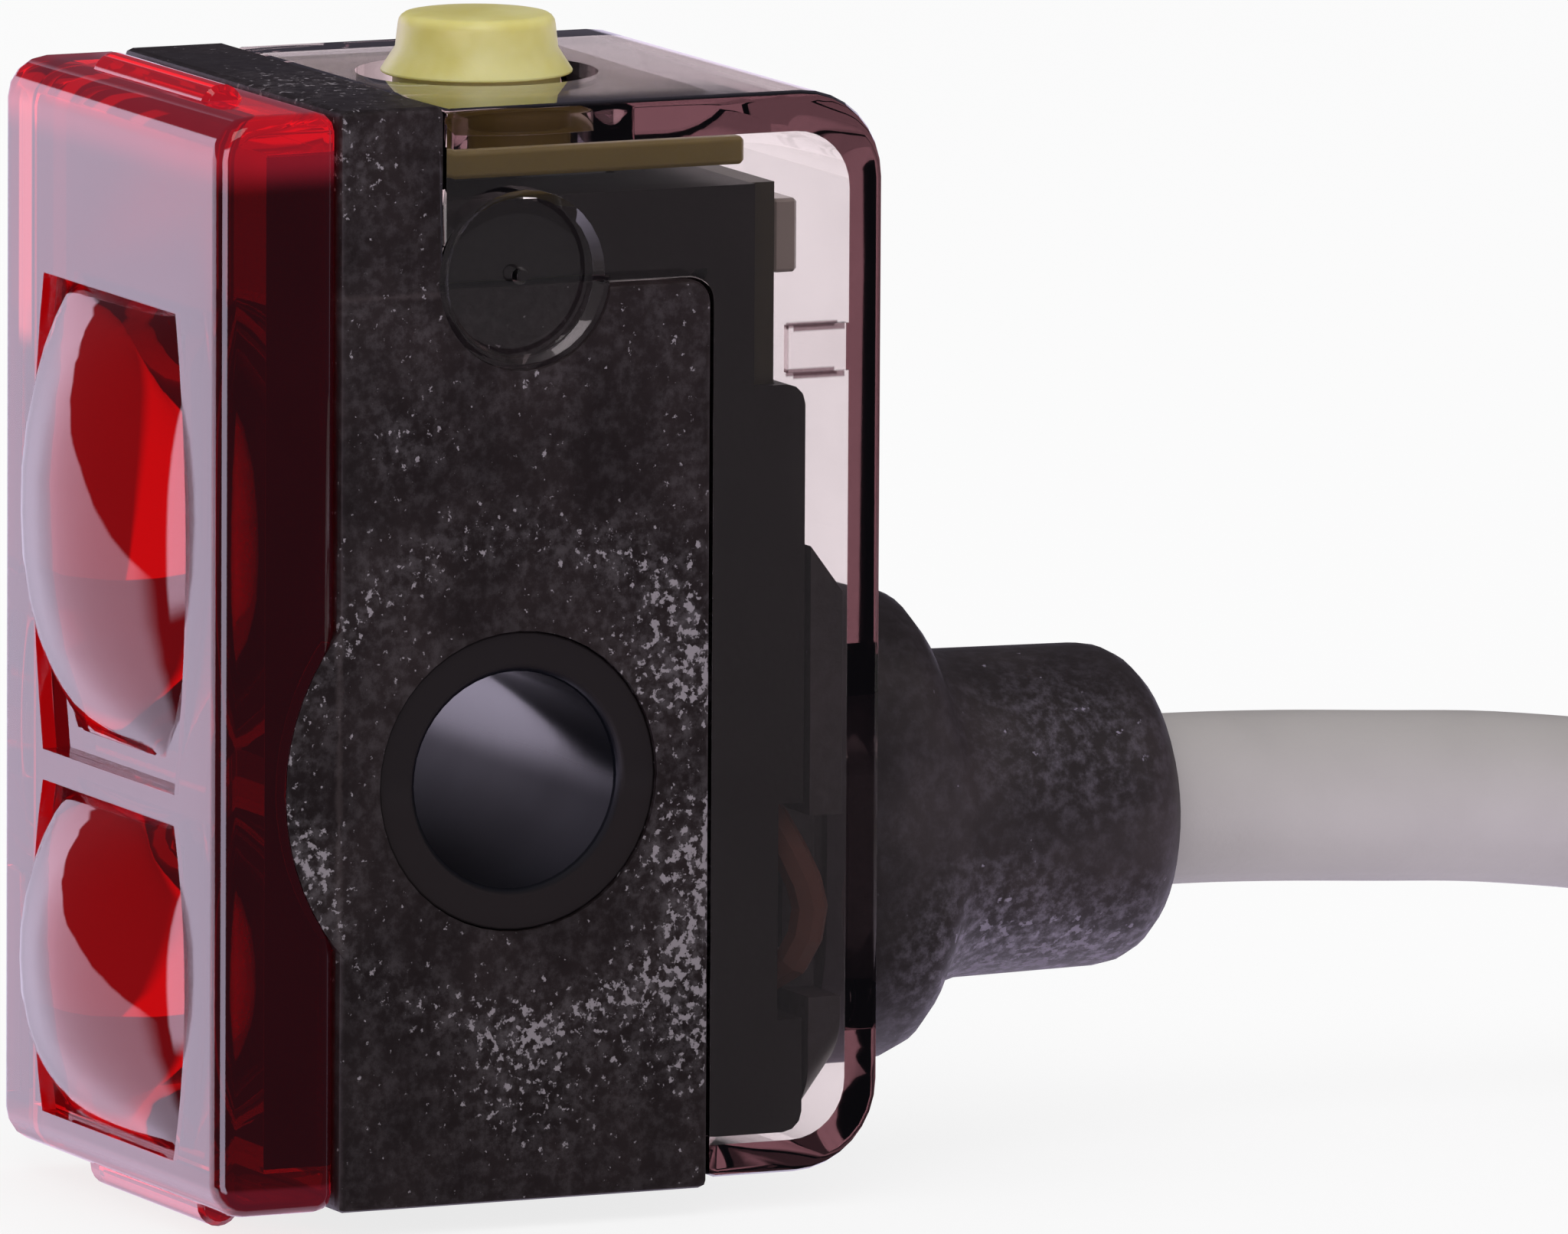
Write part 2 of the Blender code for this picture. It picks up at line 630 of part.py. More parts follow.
def rear_housing():
    outside = clear_outline(0, 0, CLEAR_TOP, CLEAR_FOOT, CLEAR_CORNER)
    housing = slab("rear_housing", outside, CLEAR_HALF_WIDTH, SMOKY_CLEAR)
    edge = housing.modifiers.new("edges", "BEVEL")
    edge.width = 0.15 * mm
    edge.segments = 2
    edge.limit_method = "ANGLE"
    edge.angle_limit = radians(50)
    for side, name in ((-1, "far"), (1, "near")):
        start = -CLEAR_HALF_WIDTH if side < 0 else CLEAR_HALF_WIDTH - CLEAR_SIDE_WALL
        join(housing, rod("gate_tab_" + name, "X", (start, GATE_Y, GATE_Z), GATE_TAB_RADIUS, CLEAR_SIDE_WALL))
    cavity = clear_outline(
        1 * mm,
        CLEAR_REAR_WALL,
        CLEAR_TOP - CLEAR_TOP_WALL,
        CLEAR_FOOT + CLEAR_REAR_WALL,
        CLEAR_CORNER - CLEAR_REAR_WALL,
    )
    cut(housing, slab("clear_cavity", cavity, CLEAR_HALF_WIDTH - CLEAR_SIDE_WALL))
    wall_face = CLEAR_HALF_WIDTH - CLEAR_SIDE_WALL
    for side, name in ((-1, "far"), (1, "near")):
        ends = sorted((side * (wall_face - RIB_RISE), side * (wall_face + CLEAR_SIDE_WALL / 2)))
        low = (ends[0], MAIN_BOARD_REAR + FIT * 2, RIB_FOOT)
        high = (ends[1], BODY_DEPTH - CLEAR_REAR_WALL / 2, RIB_FOOT + RIB_HEIGHT)
        join(housing, box("clear_rib_" + name, low, high))
    button_hole = rod("button_hole", "Z", (0, BUTTON_Y, PLATE_TOP), BUTTON_HOLE_DIAMETER / 2, 2 * mm)
    hole = gland_neck(SEAM)
    gland_hole = section_loft("gland_hole", [(BODY_DEPTH - 1 * mm, *hole), (BODY_DEPTH + 1 * mm, *hole)])
    cut(housing, button_hole, gland_hole)
    for side, name in ((-1, "far"), (1, "near")):
        face = side * CLEAR_HALF_WIDTH
        dish = turned(
            "gate_dish_" + name,
            "X",
            (face, GATE_Y, GATE_Z),
            [
                (0, 1 * mm),
                (GATE_RADIUS + 0.06 * mm, 1 * mm),
                (GATE_RADIUS + 0.06 * mm, 0),
                (GATE_RADIUS - 0.06 * mm, -GATE_DEPTH * 0.7),
                (GATE_RADIUS - 0.3 * mm, -GATE_DEPTH),
                (GATE_NUB, -GATE_DEPTH * 0.85),
                (GATE_NUB * 0.7, -GATE_DEPTH * 0.4),
                (0, -GATE_DEPTH * 0.3),
            ],
            sides=32,
        )
        if side < 0:
            dish.rotation_euler = (0, -pi / 2, 0)
        cut(housing, dish)
    smooth(housing)
    return housing


def teach_button():
    cap = BUTTON_CAP_DIAMETER / 2
    neck = BUTTON_NECK_DIAMETER / 2
    skirt = BUTTON_SKIRT_DIAMETER / 2
    skirt_foot = BODY_HEIGHT - 0.07 * mm
    round_top = 0.16 * mm
    profile = [(0, BUTTON_TOP), (cap * 0.6, BUTTON_TOP - 0.015 * mm)]
    for k in range(5):
        angle = pi / 2 * (1 - k / 4)
        profile.append(
            (
                cap - 0.04 * mm - round_top * (1 - cos(angle)),
                BUTTON_TOP - 0.035 * mm - round_top * (1 - sin(angle)),
            )
        )
    profile += [
        (cap, skirt_foot + 0.37 * mm),
        (skirt, skirt_foot + 0.03 * mm),
        (skirt - 0.02 * mm, skirt_foot),
        (neck, skirt_foot),
        (neck, PLATE_TOP - PLATE_THICKNESS / 2),
        (0, PLATE_TOP - PLATE_THICKNESS / 2),
    ]
    profile = [(radius, height - PLATE_FOOT) for radius, height in profile]
    plate = box(
        "teach_button",
        (-PLATE_HALF_WIDTH, PLATE_FRONT - BUTTON_Y, 0),
        (PLATE_HALF_WIDTH, PLATE_REAR - BUTTON_Y, PLATE_THICKNESS),
        YELLOW_BUTTON,
        edge=0.06 * mm,
        segments=1,
    )
    plate.location = (0, BUTTON_Y, PLATE_FOOT)
    join(plate, turned("button_post", "Z", (0, BUTTON_Y, PLATE_FOOT), profile))
    smooth(plate)
    return plate


def switch():
    half = SWITCH_WIDTH / 2
    plunger = PLUNGER_DIAMETER / 2
    base = box(
        "switch_base",
        (-half, BUTTON_Y - half, SWITCH_BOARD_TOP + SEAM),
        (half, BUTTON_Y + half, SWITCH_TOP),
        CHIP_BLACK,
        edge=0.2 * mm,
        rounded_along="Z",
    )
    well_foot = SWITCH_TOP - PLUNGER_GUIDE - BUTTON_TRAVEL - FIT
    cut(base, rod("plunger_well", "Z", (0, BUTTON_Y, well_foot), plunger + FIT, 2 * mm, sides=32))
    foot = SWITCH_TOP - PLUNGER_GUIDE
    height = PLATE_FOOT - SEAM - foot
    turned(
        "switch_plunger",
        "Z",
        (0, BUTTON_Y, foot),
        [
            (0, height),
            (plunger - 0.1 * mm, height),
            (plunger, height - 0.1 * mm),
            (plunger, 0),
            (0, 0),
        ],
        CERAMIC,
        sides=32,
    )


def optics_block():
    front = WINDOW_FACE + SEAM
    plate_rear = WINDOW_DEPTH + 0.27 * mm
    half = HALF_WIDTH - WINDOW_WALL - FIT
    tunnel = TUNNEL_HALF_WIDTH - FIT
    block = box(
        "optics_block",
        (-half, front, WINDOW_WALL + SEAM + FIT),
        (half, plate_rear, BODY_HEIGHT - WINDOW_WALL - SEAM - FIT),
        BLACK_INSIDE,
    )
    towers = (
        ("upper", UPPER_TUNNEL_FLOOR, TOWER_TOP, RECEIVER_Z, UPPER_LENS_FOOT, UPPER_LENS_TOP),
        ("lower", LOWER_TUNNEL_FLOOR, LOWER_TUNNEL_ROOF, EMITTER_Z, LOWER_LENS_FOOT, LOWER_LENS_TOP),
    )
    tower_rear = DETECTOR_REAR - BOARD_THICKNESS - FIT
    seat_half = CHIP_SIDE / 2 + FIT * 3
    throat = CHIP_SIDE * 0.4
    for name, floor, roof, aim, lens_foot, lens_top in towers:
        low = (-tunnel, plate_rear - FIT, floor + FIT)
        join(block, box(name + "_tower", low, (tunnel, tower_rear, roof - FIT)))
        lens_middle = (lens_foot + lens_top) / 2
        mouth = (front - FIT * 4, LENS_END_HALF_WIDTH - FIT * 2, lens_middle, (lens_top - lens_foot) * 0.46)
        far = (tower_rear - CHIP_HEIGHT - FIT * 3, throat, aim, throat)
        cut(block, funnel(name + "_funnel", mouth, far))
        seat = box(
            name + "_seat",
            (-seat_half, tower_rear - CHIP_HEIGHT - FIT * 7, aim - seat_half),
            (seat_half, tower_rear + 1 * mm, aim + seat_half),
        )
        cut(block, seat)
    smooth(block)
    return block


def funnel(name, near, far):
    """A four-sided tapered opening between two (y, half width, middle height, half height) ends."""
    shape = bmesh.new()
    ends = []
    for y, half, middle, reach in (near, far):
        ring = ((-half, -reach), (half, -reach), (half, reach), (-half, reach))
        ends.append([shape.verts.new((x, y, middle + z)) for x, z in ring])
    for k in range(4):
        following = (k + 1) % 4
        shape.faces.new([ends[0][k], ends[0][following], ends[1][following], ends[1][k]])
    shape.faces.new(ends[0])
    shape.faces.new(ends[1])
    return from_bmesh(name, shape)


def detectors():
    """The light source under the lower lens and the receiver behind the upper one, each on a board."""
    board_front = DETECTOR_REAR - BOARD_THICKNESS
    half = CHIP_SIDE / 2
    for name, material, middle, half_height in (
        ("emitter", LED_RESIN, EMITTER_Z, (LOWER_TUNNEL_ROOF - LOWER_TUNNEL_FLOOR) / 2 - FIT * 2),
        ("receiver", CHIP_BLACK, RECEIVER_Z, (TOWER_TOP - UPPER_TUNNEL_FLOOR) / 2 - FIT * 4),
    ):
        box(
            name + "_board",
            (-BOARD_HALF_WIDTH, board_front, middle - half_height),
            (BOARD_HALF_WIDTH, DETECTOR_REAR, middle + half_height),
            BOARD_GREEN,
        )
        chip = box(
            name + "_chip",
            (-half, board_front - SEAM - CHIP_HEIGHT, middle - half),
            (half, board_front - SEAM, middle + half),
            material,
        )
        if name == "emitter":
            dome = bmesh.new()
            place = Matrix.Translation((0, board_front - 0.7 * mm, middle))
            bmesh.ops.create_uvsphere(dome, u_segments=20, v_segments=12, radius=0.62 * mm, matrix=place)
            join(chip, from_bmesh("emitter_dome", dome))
        else:
            low = (-0.6 * mm, board_front - 2 * mm, middle - 0.6 * mm)
            high = (0.6 * mm, board_front - SEAM - 0.65 * mm, middle + 0.6 * mm)
            cut(chip, box("receiver_window", low, high))
        smooth(chip)


def boards():
    front = MAIN_BOARD_FRONT
    box(
        "main_board",
        (-CARRIER_HALF_WIDTH + 0.2 * mm, front, MAIN_BOARD_FOOT),
        (CARRIER_HALF_WIDTH - 0.2 * mm, MAIN_BOARD_REAR, PLATE_FOOT - BUTTON_TRAVEL - FIT),
        BOARD_GREEN,
    )
    foot = SWITCH_BOARD_TOP - BOARD_THICKNESS
    box(
        "switch_board",
        (-BOARD_HALF_WIDTH, BAND_REAR + 2 * FIT, foot),
        (BOARD_HALF_WIDTH, front - SEAM, SWITCH_BOARD_TOP),
        BOARD_GREEN,
    )
    capacitor_front = DETECTOR_REAR + FIT * 3
    box(
        "control_chip",
        (-CONTROL_CHIP_SIDE / 2, capacitor_front + CAPACITOR_SIDE * 1.4, foot - SEAM - CONTROL_CHIP_HEIGHT),
        (CONTROL_CHIP_SIDE / 2, front - 0.33 * mm, foot - SEAM),
        CHIP_BLACK,
        edge=0.05 * mm,
        segments=1,
    )
    for k in range(3):
        middle = (k - 1) * CAPACITOR_SPACING
        capacitor = box(
            f"capacitor_{k + 1}",
            (middle - CAPACITOR_LENGTH / 2, capacitor_front, foot - SEAM - CAPACITOR_SIDE),
            (middle + CAPACITOR_LENGTH / 2, capacitor_front + CAPACITOR_SIDE, foot - SEAM),
            CERAMIC,
        )
        capacitor.modifiers.new("edges", "BEVEL").width = 0.04 * mm
    lamp_top = PLATE_FOOT - PLATE_THICKNESS - FIT * 3
    lamp_side = CARRIER_HALF_WIDTH - FIT * 5
    lamp = box(
        "status_lamp",
        (lamp_side - LAMP_WIDTH, MAIN_BOARD_REAR + SEAM, lamp_top - LAMP_HEIGHT),
        (lamp_side, MAIN_BOARD_REAR + LAMP_DEPTH, lamp_top),
        LED_RESIN,
    )
    lamp.modifiers.new("edges", "BEVEL").width = 0.05 * mm


def inner_carrier():
    """The black frame that holds the boards, stepped out to the rear below the clear rib."""
    front = SHOULDER_REAR + FIT * 2
    board_front = MAIN_BOARD_FRONT
    half = CARRIER_HALF_WIDTH
    corners = [
        (front, CARRIER_FOOT, 0),
        (CARRIER_REAR, CARRIER_FOOT, 0.3 * mm),
        (CARRIER_REAR, CARRIER_STEP, 0.3 * mm),
        (board_front, CARRIER_STEP, 0),
        (board_front, CARRIER_TOP, 0),
        (BAND_REAR + 2 * FIT, CARRIER_TOP, 0),
        (BAND_REAR + 2 * FIT, SHOULDER_HEIGHT + 2 * FIT, 0),
        (front, SHOULDER_HEIGHT + 2 * FIT, 0),
    ]
    carrier = slab("inner_carrier", filleted(corners, 3), half, BLACK_INSIDE)
    board_slot = box(
        "board_slot",
        (-half + 0.15 * mm, board_front - SEAM, MAIN_BOARD_FOOT - FIT),
        (half - 0.15 * mm, MAIN_BOARD_REAR + SEAM, BODY_HEIGHT),
    )
    switch_bay = box(
        "switch_bay",
        (-BOARD_HALF_WIDTH - FIT, BAND_REAR + 0.4 * mm, SWITCH_BOARD_TOP - 2 * mm),
        (BOARD_HALF_WIDTH + FIT, board_front + FIT, SWITCH_BOARD_TOP + SEAM),
    )
    switch_well = box(
        "switch_well",
        (-SWITCH_WIDTH / 2 - FIT, BUTTON_Y - SWITCH_WIDTH / 2 - FIT, SWITCH_BOARD_TOP - 1 * mm),
        (SWITCH_WIDTH / 2 + FIT, BUTTON_Y + SWITCH_WIDTH / 2 + FIT, BODY_HEIGHT),
    )
    front_gap = box(
        "front_gap",
        (-BOARD_HALF_WIDTH - FIT, BAND_REAR, SHOULDER_HEIGHT - 1 * mm),
        (BOARD_HALF_WIDTH + FIT, BAND_REAR + 1 * mm, SWITCH_BOARD_TOP + SEAM),
    )
    bay_foot = GLAND_Z - 2.3 * mm
    bay_side = half - 0.5 * mm
    lead_bay = box(
        "lead_bay",
        (-bay_side, board_front - 0.3 * mm, bay_foot),
        (bay_side, CARRIER_REAR + 1 * mm, MAIN_BOARD_FOOT + 0.4 * mm),
    )
    side_window = box(
        "side_window",
        (bay_side - FIT, CARRIER_REAR - 0.4 * mm, bay_foot),
        (half + 1 * mm, CARRIER_REAR + 1 * mm, GLAND_Z + 0.9 * mm),
    )
    cut(carrier, board_slot, switch_bay, switch_well, front_gap, lead_bay, side_window)
    return carrier


def leads():
    """Four cores from the gland to the foot of the main board."""
    radius = LEAD_DIAMETER / 2
    start_y = CARRIER_REAR + 0.02 * mm - radius
    board_y = MAIN_BOARD_REAR - BOARD_THICKNESS / 2 + FIT
    end_z = MAIN_BOARD_FOOT - FIT
    places = {"white": -1.3 * mm, "blue": -0.45 * mm, "black": 0.4 * mm}
    for name, x in places.items():
        route = [
            Vector((x * 0.7, start_y, GLAND_Z)),
            Vector((x * 0.8, start_y - 0.35 * mm, GLAND_Z + 0.6 * mm)),
            Vector((x, board_y, GLAND_Z + 1.8 * mm)),
            Vector((x, board_y, end_z)),
        ]
        tube("lead_" + name, smooth_route(route, 0.5 * mm), radius, LEAD_COLOURS[name], 2)
    route = [
        Vector((1.35 * mm, start_y, GLAND_Z - 1.6 * mm)),
        Vector((2.2 * mm, start_y - 0.1 * mm, GLAND_Z - 1.85 * mm)),
        Vector((2.95 * mm, start_y + 0.3 * mm, GLAND_Z - 1.5 * mm)),
        Vector((3.12 * mm, start_y + 0.5 * mm, GLAND_Z - 0.7 * mm)),
        Vector((2.95 * mm, start_y + 0.25 * mm, GLAND_Z + 0.1 * mm)),
        Vector((2.3 * mm, board_y + 0.1 * mm, GLAND_Z + 1.4 * mm)),
        Vector((2.0 * mm, board_y, end_z)),
    ]
    tube("lead_brown", smooth_route(route, 0.5 * mm), radius, LEAD_COLOURS["brown"], 2)


def gland_neck(margin):
    """Half width, half height and corner radius of the gland where it passes the rear wall."""
    return (2.05 * mm + margin, 2.85 * mm + margin, 1.9 * mm + margin)


def section_ring(half_width, half_height, corner, sides=ROUND):
    """Points of a rounded rectangle about the gland's axis, as many in each corner."""
    ring = []
    for k in range(sides):
        angle = 2 * pi * (k + 0.5) / sides
        x = cos(angle)
        z = sin(angle)
        ring.append(
            (
                (half_width - corner) * (1 if x > 0 else -1) + corner * x,
                (half_height - corner) * (1 if z > 0 else -1) + corner * z,
            )
        )
    return ring


def section_loft(name, sections, material=None, sides=ROUND):
    """A loft along Y through rounded rectangles about the gland's axis."""
    shape = bmesh.new()
    rings = []
    for y, half_width, half_height, corner in sections:
        ring = section_ring(half_width, half_height, corner, sides)
        rings.append([shape.verts.new((x, y, GLAND_Z + z)) for x, z in ring])
    for ring, following in zip(rings, rings[1:]):
        for k in range(sides):
            after = (k + 1) % sides
            shape.faces.new([ring[k], ring[after], following[after], following[k]])
    shape.faces.new(rings[0])
    shape.faces.new(rings[-1])
    return from_bmesh(name, shape, material)


def gland():
    """The strain relief: an inner flange, a collar on the rear wall that runs down into a cylinder."""
    inner_rear = BODY_DEPTH - CLEAR_REAR_WALL - SEAM
    neck = gland_neck(0)
    wide, high = GLAND_HALF_WIDTH, GLAND_HALF_HEIGHT
    sections = [
        (CARRIER_REAR + FIT * 2, FLANGE_HALF_WIDTH, FLANGE_HALF_HEIGHT + FLANGE_SLOPE, FLANGE_CORNER),
        (inner_rear, FLANGE_HALF_WIDTH, FLANGE_HALF_HEIGHT, FLANGE_CORNER),
        (inner_rear, *neck),
        (BODY_DEPTH + SEAM, *neck),
        (BODY_DEPTH + SEAM, wide, high, GLAND_RADIUS - 0.1 * mm),
    ]
    # the collar keeps its size up to its shoulder, drops in a round edge and runs out in a hollow
    drop = ((0, 0), (0.35, 0.14), (0.55, 0.36), (0.72, 0.72), (0.88, 0.88), (1.35, 1))
    for along, share in drop:
        sections.append(
            (
                GLAND_SHOULDER + along * mm,
                wide + (GLAND_RADIUS - wide) * share,
                high + (GLAND_RADIUS - high) * share,
                GLAND_RADIUS - 0.1 * mm * (1 - share),
            )
        )
    end_radius = GLAND_RADIUS - GLAND_TAPER
    for k in range(6):
        angle = pi / 2 * k / 5
        radius = end_radius - GLAND_ROUND * (1 - cos(angle))
        sections.append((GLAND_END - GLAND_ROUND * (1 - sin(angle)), radius, radius, radius))
    relief = section_loft("gland", sections, BLACK_BODY)
    flange_front = CARRIER_REAR + FIT * 2
    lip = [
        (flange_front, GLAND_Z),
        (inner_rear, GLAND_Z),
        (inner_rear, GLAND_Z + FLANGE_LIP - FLANGE_SLOPE),
        (flange_front, GLAND_Z + FLANGE_LIP),
    ]
    join(relief, slab("flange_lip", lip, FLANGE_HALF_WIDTH))
    notch = box(
        "core_notch",
        (FLANGE_HALF_WIDTH - 0.95 * mm, CARRIER_REAR, GLAND_Z - 2.0 * mm),
        (FLANGE_HALF_WIDTH + 1 * mm, inner_rear + SEAM, GLAND_Z + 0.7 * mm),
    )
    cut(relief, notch)
    seat = rod(
        "cable_seat",
        "Y",
        (0, GLAND_END - GLAND_SEAT_DEPTH, GLAND_Z),
        CABLE_RADIUS + FIT,
        GLAND_SEAT_DEPTH + 1 * mm,
        sides=32,
    )
    cut(relief, seat)
    smooth(relief)
    return relief


def cable():
    """The cable: straight out of the gland, down to the surface, a coil of two turns, and on to the plug."""
    lying = FLOOR + CABLE_RADIUS
    ring_half = CABLE_RADIUS + FIT * 2
    outer = COIL_RADIUS + ring_half
    meets = sqrt(outer**2 - (COIL_RADIUS - CABLE_RADIUS) ** 2)
    start = GLAND_END - GLAND_SEAT_DEPTH + 0.1 * mm
    route = [
        Vector((0, start, GLAND_Z)),
        Vector((0, GLAND_END + 1.5 * mm, GLAND_Z)),
        Vector((0, GLAND_END + 4.4 * mm, GLAND_Z)),
        Vector((0, GLAND_END + 7.4 * mm, GLAND_Z - 0.16 * mm)),
        Vector((0, GLAND_END + 10.0 * mm, GLAND_Z - 0.9 * mm)),
        Vector((0, GLAND_END + 12.2 * mm, lying + 1.95 * mm)),
        Vector((0, COIL_Y - meets - 0.3 * mm, lying + 1.1 * mm)),
    ]
    tube("cable", smooth_route(route, CABLE_DIAMETER), CABLE_RADIUS, CABLE_GREY, 2)

    height = COIL_LAYERS * (CABLE_DIAMETER + FIT)
    inner = COIL_RADIUS - ring_half
    rounding = CABLE_RADIUS * 0.6
    profile = []
    corners = (
        (outer - rounding, height - rounding, 90),
        (outer - rounding, rounding, 0),
        (inner + rounding, rounding, -90),
        (inner + rounding, height - rounding, -180),
    )
    for radius, z, first in corners:
        for turn in (0, 90):
            angle = radians(first - turn)
            profile.append((radius + rounding * cos(angle), z + rounding * sin(angle)))
    coil = turned("cable_coil", "Z", (COIL_RADIUS, COIL_Y, FLOOR), profile, CABLE_GREY, sides=40, closed=True)
    smooth(coil)

    plug_height = FLOOR + GRIP_DIAMETER / 2
    upper = FLOOR + height - CABLE_RADIUS
    route = [
        Vector((0, COIL_Y + meets + 0.3 * mm, upper + 0.35 * mm)),
        Vector((0, PLUG_Y - 1.2 * mm, plug_height - 0.2 * mm)),
        Vector((0, PLUG_Y + 0.9 * mm, plug_height)),
    ]
    tube("cable_tail", smooth_route(route, CABLE_DIAMETER), CABLE_RADIUS, CABLE_GREY, 2)


def plug():
    """A round four-pin plug: moulded grip, knurled coupling ring with its thread, insert, pins and seal."""
    height = FLOOR + GRIP_DIAMETER / 2
    grip = GRIP_DIAMETER / 2
    place = Vector((0, PLUG_Y, height))
    shoulder = 0.6 * mm
    nose = INSERT_DIAMETER / 2 - 0.7 * mm
    profile = [
        (0, GRIP_LENGTH + 1.0 * mm),
        (nose, GRIP_LENGTH + 1.0 * mm),
        (nose, GRIP_LENGTH),
        (grip - 1.4 * mm, GRIP_LENGTH),
        (grip - 0.4 * mm, GRIP_LENGTH - 0.3 * mm),
        (grip, GRIP_LENGTH - 1.0 * mm),
        (grip, GRIP_LENGTH * 0.5),
        (grip - 0.45 * mm, GRIP_LENGTH * 0.46),
        (grip - 0.55 * mm, GRIP_LENGTH * 0.32),
        (grip - 1.2 * mm, GRIP_LENGTH * 0.18),
        (grip - 2.3 * mm, GRIP_LENGTH * 0.07),
        (2.6 * mm, 0.3 * mm),
        (2.2 * mm, 0),
        (CABLE_RADIUS + FIT, 0),
        (CABLE_RADIUS + FIT, 1.2 * mm),
        (0, 1.2 * mm),
    ]
    body = turned("plug_grip", "Y", place, profile, PLUG_BLACK, sides=32)
    for k in range(8):
        angle = 2 * pi * (k + 0.5) / 8
        reach = grip + 0.55 * mm
        groove = rod(
            f"grip_groove_{k + 1}",
            "Y",
            place + Vector((reach * cos(angle), GRIP_LENGTH * 0.55, reach * sin(angle))),
            0.9 * mm,
            GRIP_LENGTH * 0.32,
            sides=16,
        )
        cut(body, groove)
    smooth(body)

    gap = 0.1 * mm
    foot = GRIP_LENGTH + gap
    ring = RING_DIAMETER / 2
    thread = THREAD_DIAMETER / 2
    hollow = INSERT_DIAMETER / 2 + gap
    profile = [
        (hollow, foot + RING_LENGTH + THREAD_LENGTH),
        (thread - 0.4 * mm, foot + RING_LENGTH + THREAD_LENGTH),
        (thread, foot + RING_LENGTH + THREAD_LENGTH - 0.4 * mm),
        (thread, foot + RING_LENGTH + 0.8 * mm),
        (thread - 0.5 * mm, foot + RING_LENGTH + 0.6 * mm),
        (thread - 0.5 * mm, foot + RING_LENGTH),
        (ring - 0.4 * mm, foot + RING_LENGTH),
        (ring, foot + RING_LENGTH - 0.4 * mm),
        (ring, foot + 0.4 * mm),
        (ring - 0.4 * mm, foot),
        (hollow, foot),
    ]
    coupling = turned("plug_ring", "Y", place, profile, NICKEL, sides=36, closed=True)
    for k in range(RING_TEETH):
        angle = 2 * pi * (k + 0.5) / RING_TEETH
        reach = ring + 0.12 * mm
        notch = rod(
            f"ring_notch_{k + 1}",
            "Y",
            place + Vector((reach * cos(angle), foot - 1 * mm, reach * sin(angle))),
            0.32 * mm,
            RING_LENGTH + 1 * mm,
            sides=8,
        )
        cut(coupling, notch)
    smooth(coupling)

    end = foot + RING_LENGTH + THREAD_LENGTH
    inside = INSERT_DIAMETER / 2
    well = end - PIN_LENGTH - 0.2 * mm
    profile = [
        (inside - 0.45 * mm, end - 0.3 * mm),
        (inside, end - 0.6 * mm),
        (inside, GRIP_LENGTH + gap),
        (nose + gap, GRIP_LENGTH + gap),
        (nose + gap, GRIP_LENGTH + 1.1 * mm),
        (0, GRIP_LENGTH + 1.1 * mm),
    ]
    profile = [(0, well), (inside - 0.45 * mm, well), *profile]
    insert = turned("plug_insert", "Y", place, profile, PLUG_BLACK, sides=32)
    smooth(insert)
    for k, degrees in enumerate((60, 120, 240, 300)):
        angle = radians(degrees)
        across = Vector((PIN_CIRCLE / 2 * cos(angle), 0, PIN_CIRCLE / 2 * sin(angle)))
        pin = turned(
            f"plug_pin_{k + 1}",
            "Y",
            place + across + Vector((0, well + SEAM, 0)),
            [
                (0, PIN_LENGTH - 0.4 * mm),
                (PIN_DIAMETER * 0.25, PIN_LENGTH - 0.5 * mm),
                (PIN_DIAMETER / 2, PIN_LENGTH - 0.9 * mm),
                (PIN_DIAMETER / 2, 0),
                (0, 0),
            ],
            GOLD,
            sides=12,
        )
        smooth(pin)
    seal = turned(
        "plug_seal",
        "Y",
        place + Vector((0, foot + RING_LENGTH + 0.3 * mm, 0)),
        seal_outline(thread),
        SEAL_RED,
        sides=24,
        closed=True,
    )
    smooth(seal)


def seal_outline(thread):
    """The round section of the seal that lies in the undercut behind the thread."""
    radius = 0.26 * mm
    middle = thread - 0.5 * mm + radius + SEAM
    return [(middle + radius * cos(2 * pi * k / 6), -radius * sin(2 * pi * k / 6)) for k in range(6)]


window_cover()
main_body()
mounting_sleeve()
rear_housing()
teach_button()
switch()
optics_block()
detectors()
boards()
inner_carrier()
leads()
gland()
cable()
plug()
bpy.context.view_layer.update()
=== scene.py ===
from math import cos, sin, pi, radians

import bmesh
import bpy
from mathutils import Matrix, Vector


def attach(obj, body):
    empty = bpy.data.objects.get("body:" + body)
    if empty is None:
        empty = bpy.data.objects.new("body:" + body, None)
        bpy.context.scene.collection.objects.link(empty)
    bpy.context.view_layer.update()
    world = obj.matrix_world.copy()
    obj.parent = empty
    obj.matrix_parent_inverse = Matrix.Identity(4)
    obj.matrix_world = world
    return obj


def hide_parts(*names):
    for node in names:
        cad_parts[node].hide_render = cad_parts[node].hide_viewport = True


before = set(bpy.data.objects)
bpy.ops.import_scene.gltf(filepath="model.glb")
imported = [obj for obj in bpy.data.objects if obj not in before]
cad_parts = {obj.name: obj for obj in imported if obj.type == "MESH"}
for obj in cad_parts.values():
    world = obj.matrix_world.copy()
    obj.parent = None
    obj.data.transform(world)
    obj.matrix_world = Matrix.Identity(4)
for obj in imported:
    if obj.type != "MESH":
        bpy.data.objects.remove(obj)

scene = bpy.context.scene
mm = 0.001
sensorMiddle = 7.74 * mm  # the window's flat front lies this far in front of the origin
footDrop = 0.42 * mm  # the housing's underside stands this far above the floor
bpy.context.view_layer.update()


def place(x, depth, height):
    # from the sensor's own sizes, in mm from its front and underside, to the shared frame
    return Vector((x * mm, depth * mm - sensorMiddle, height * mm + footDrop))


# camera

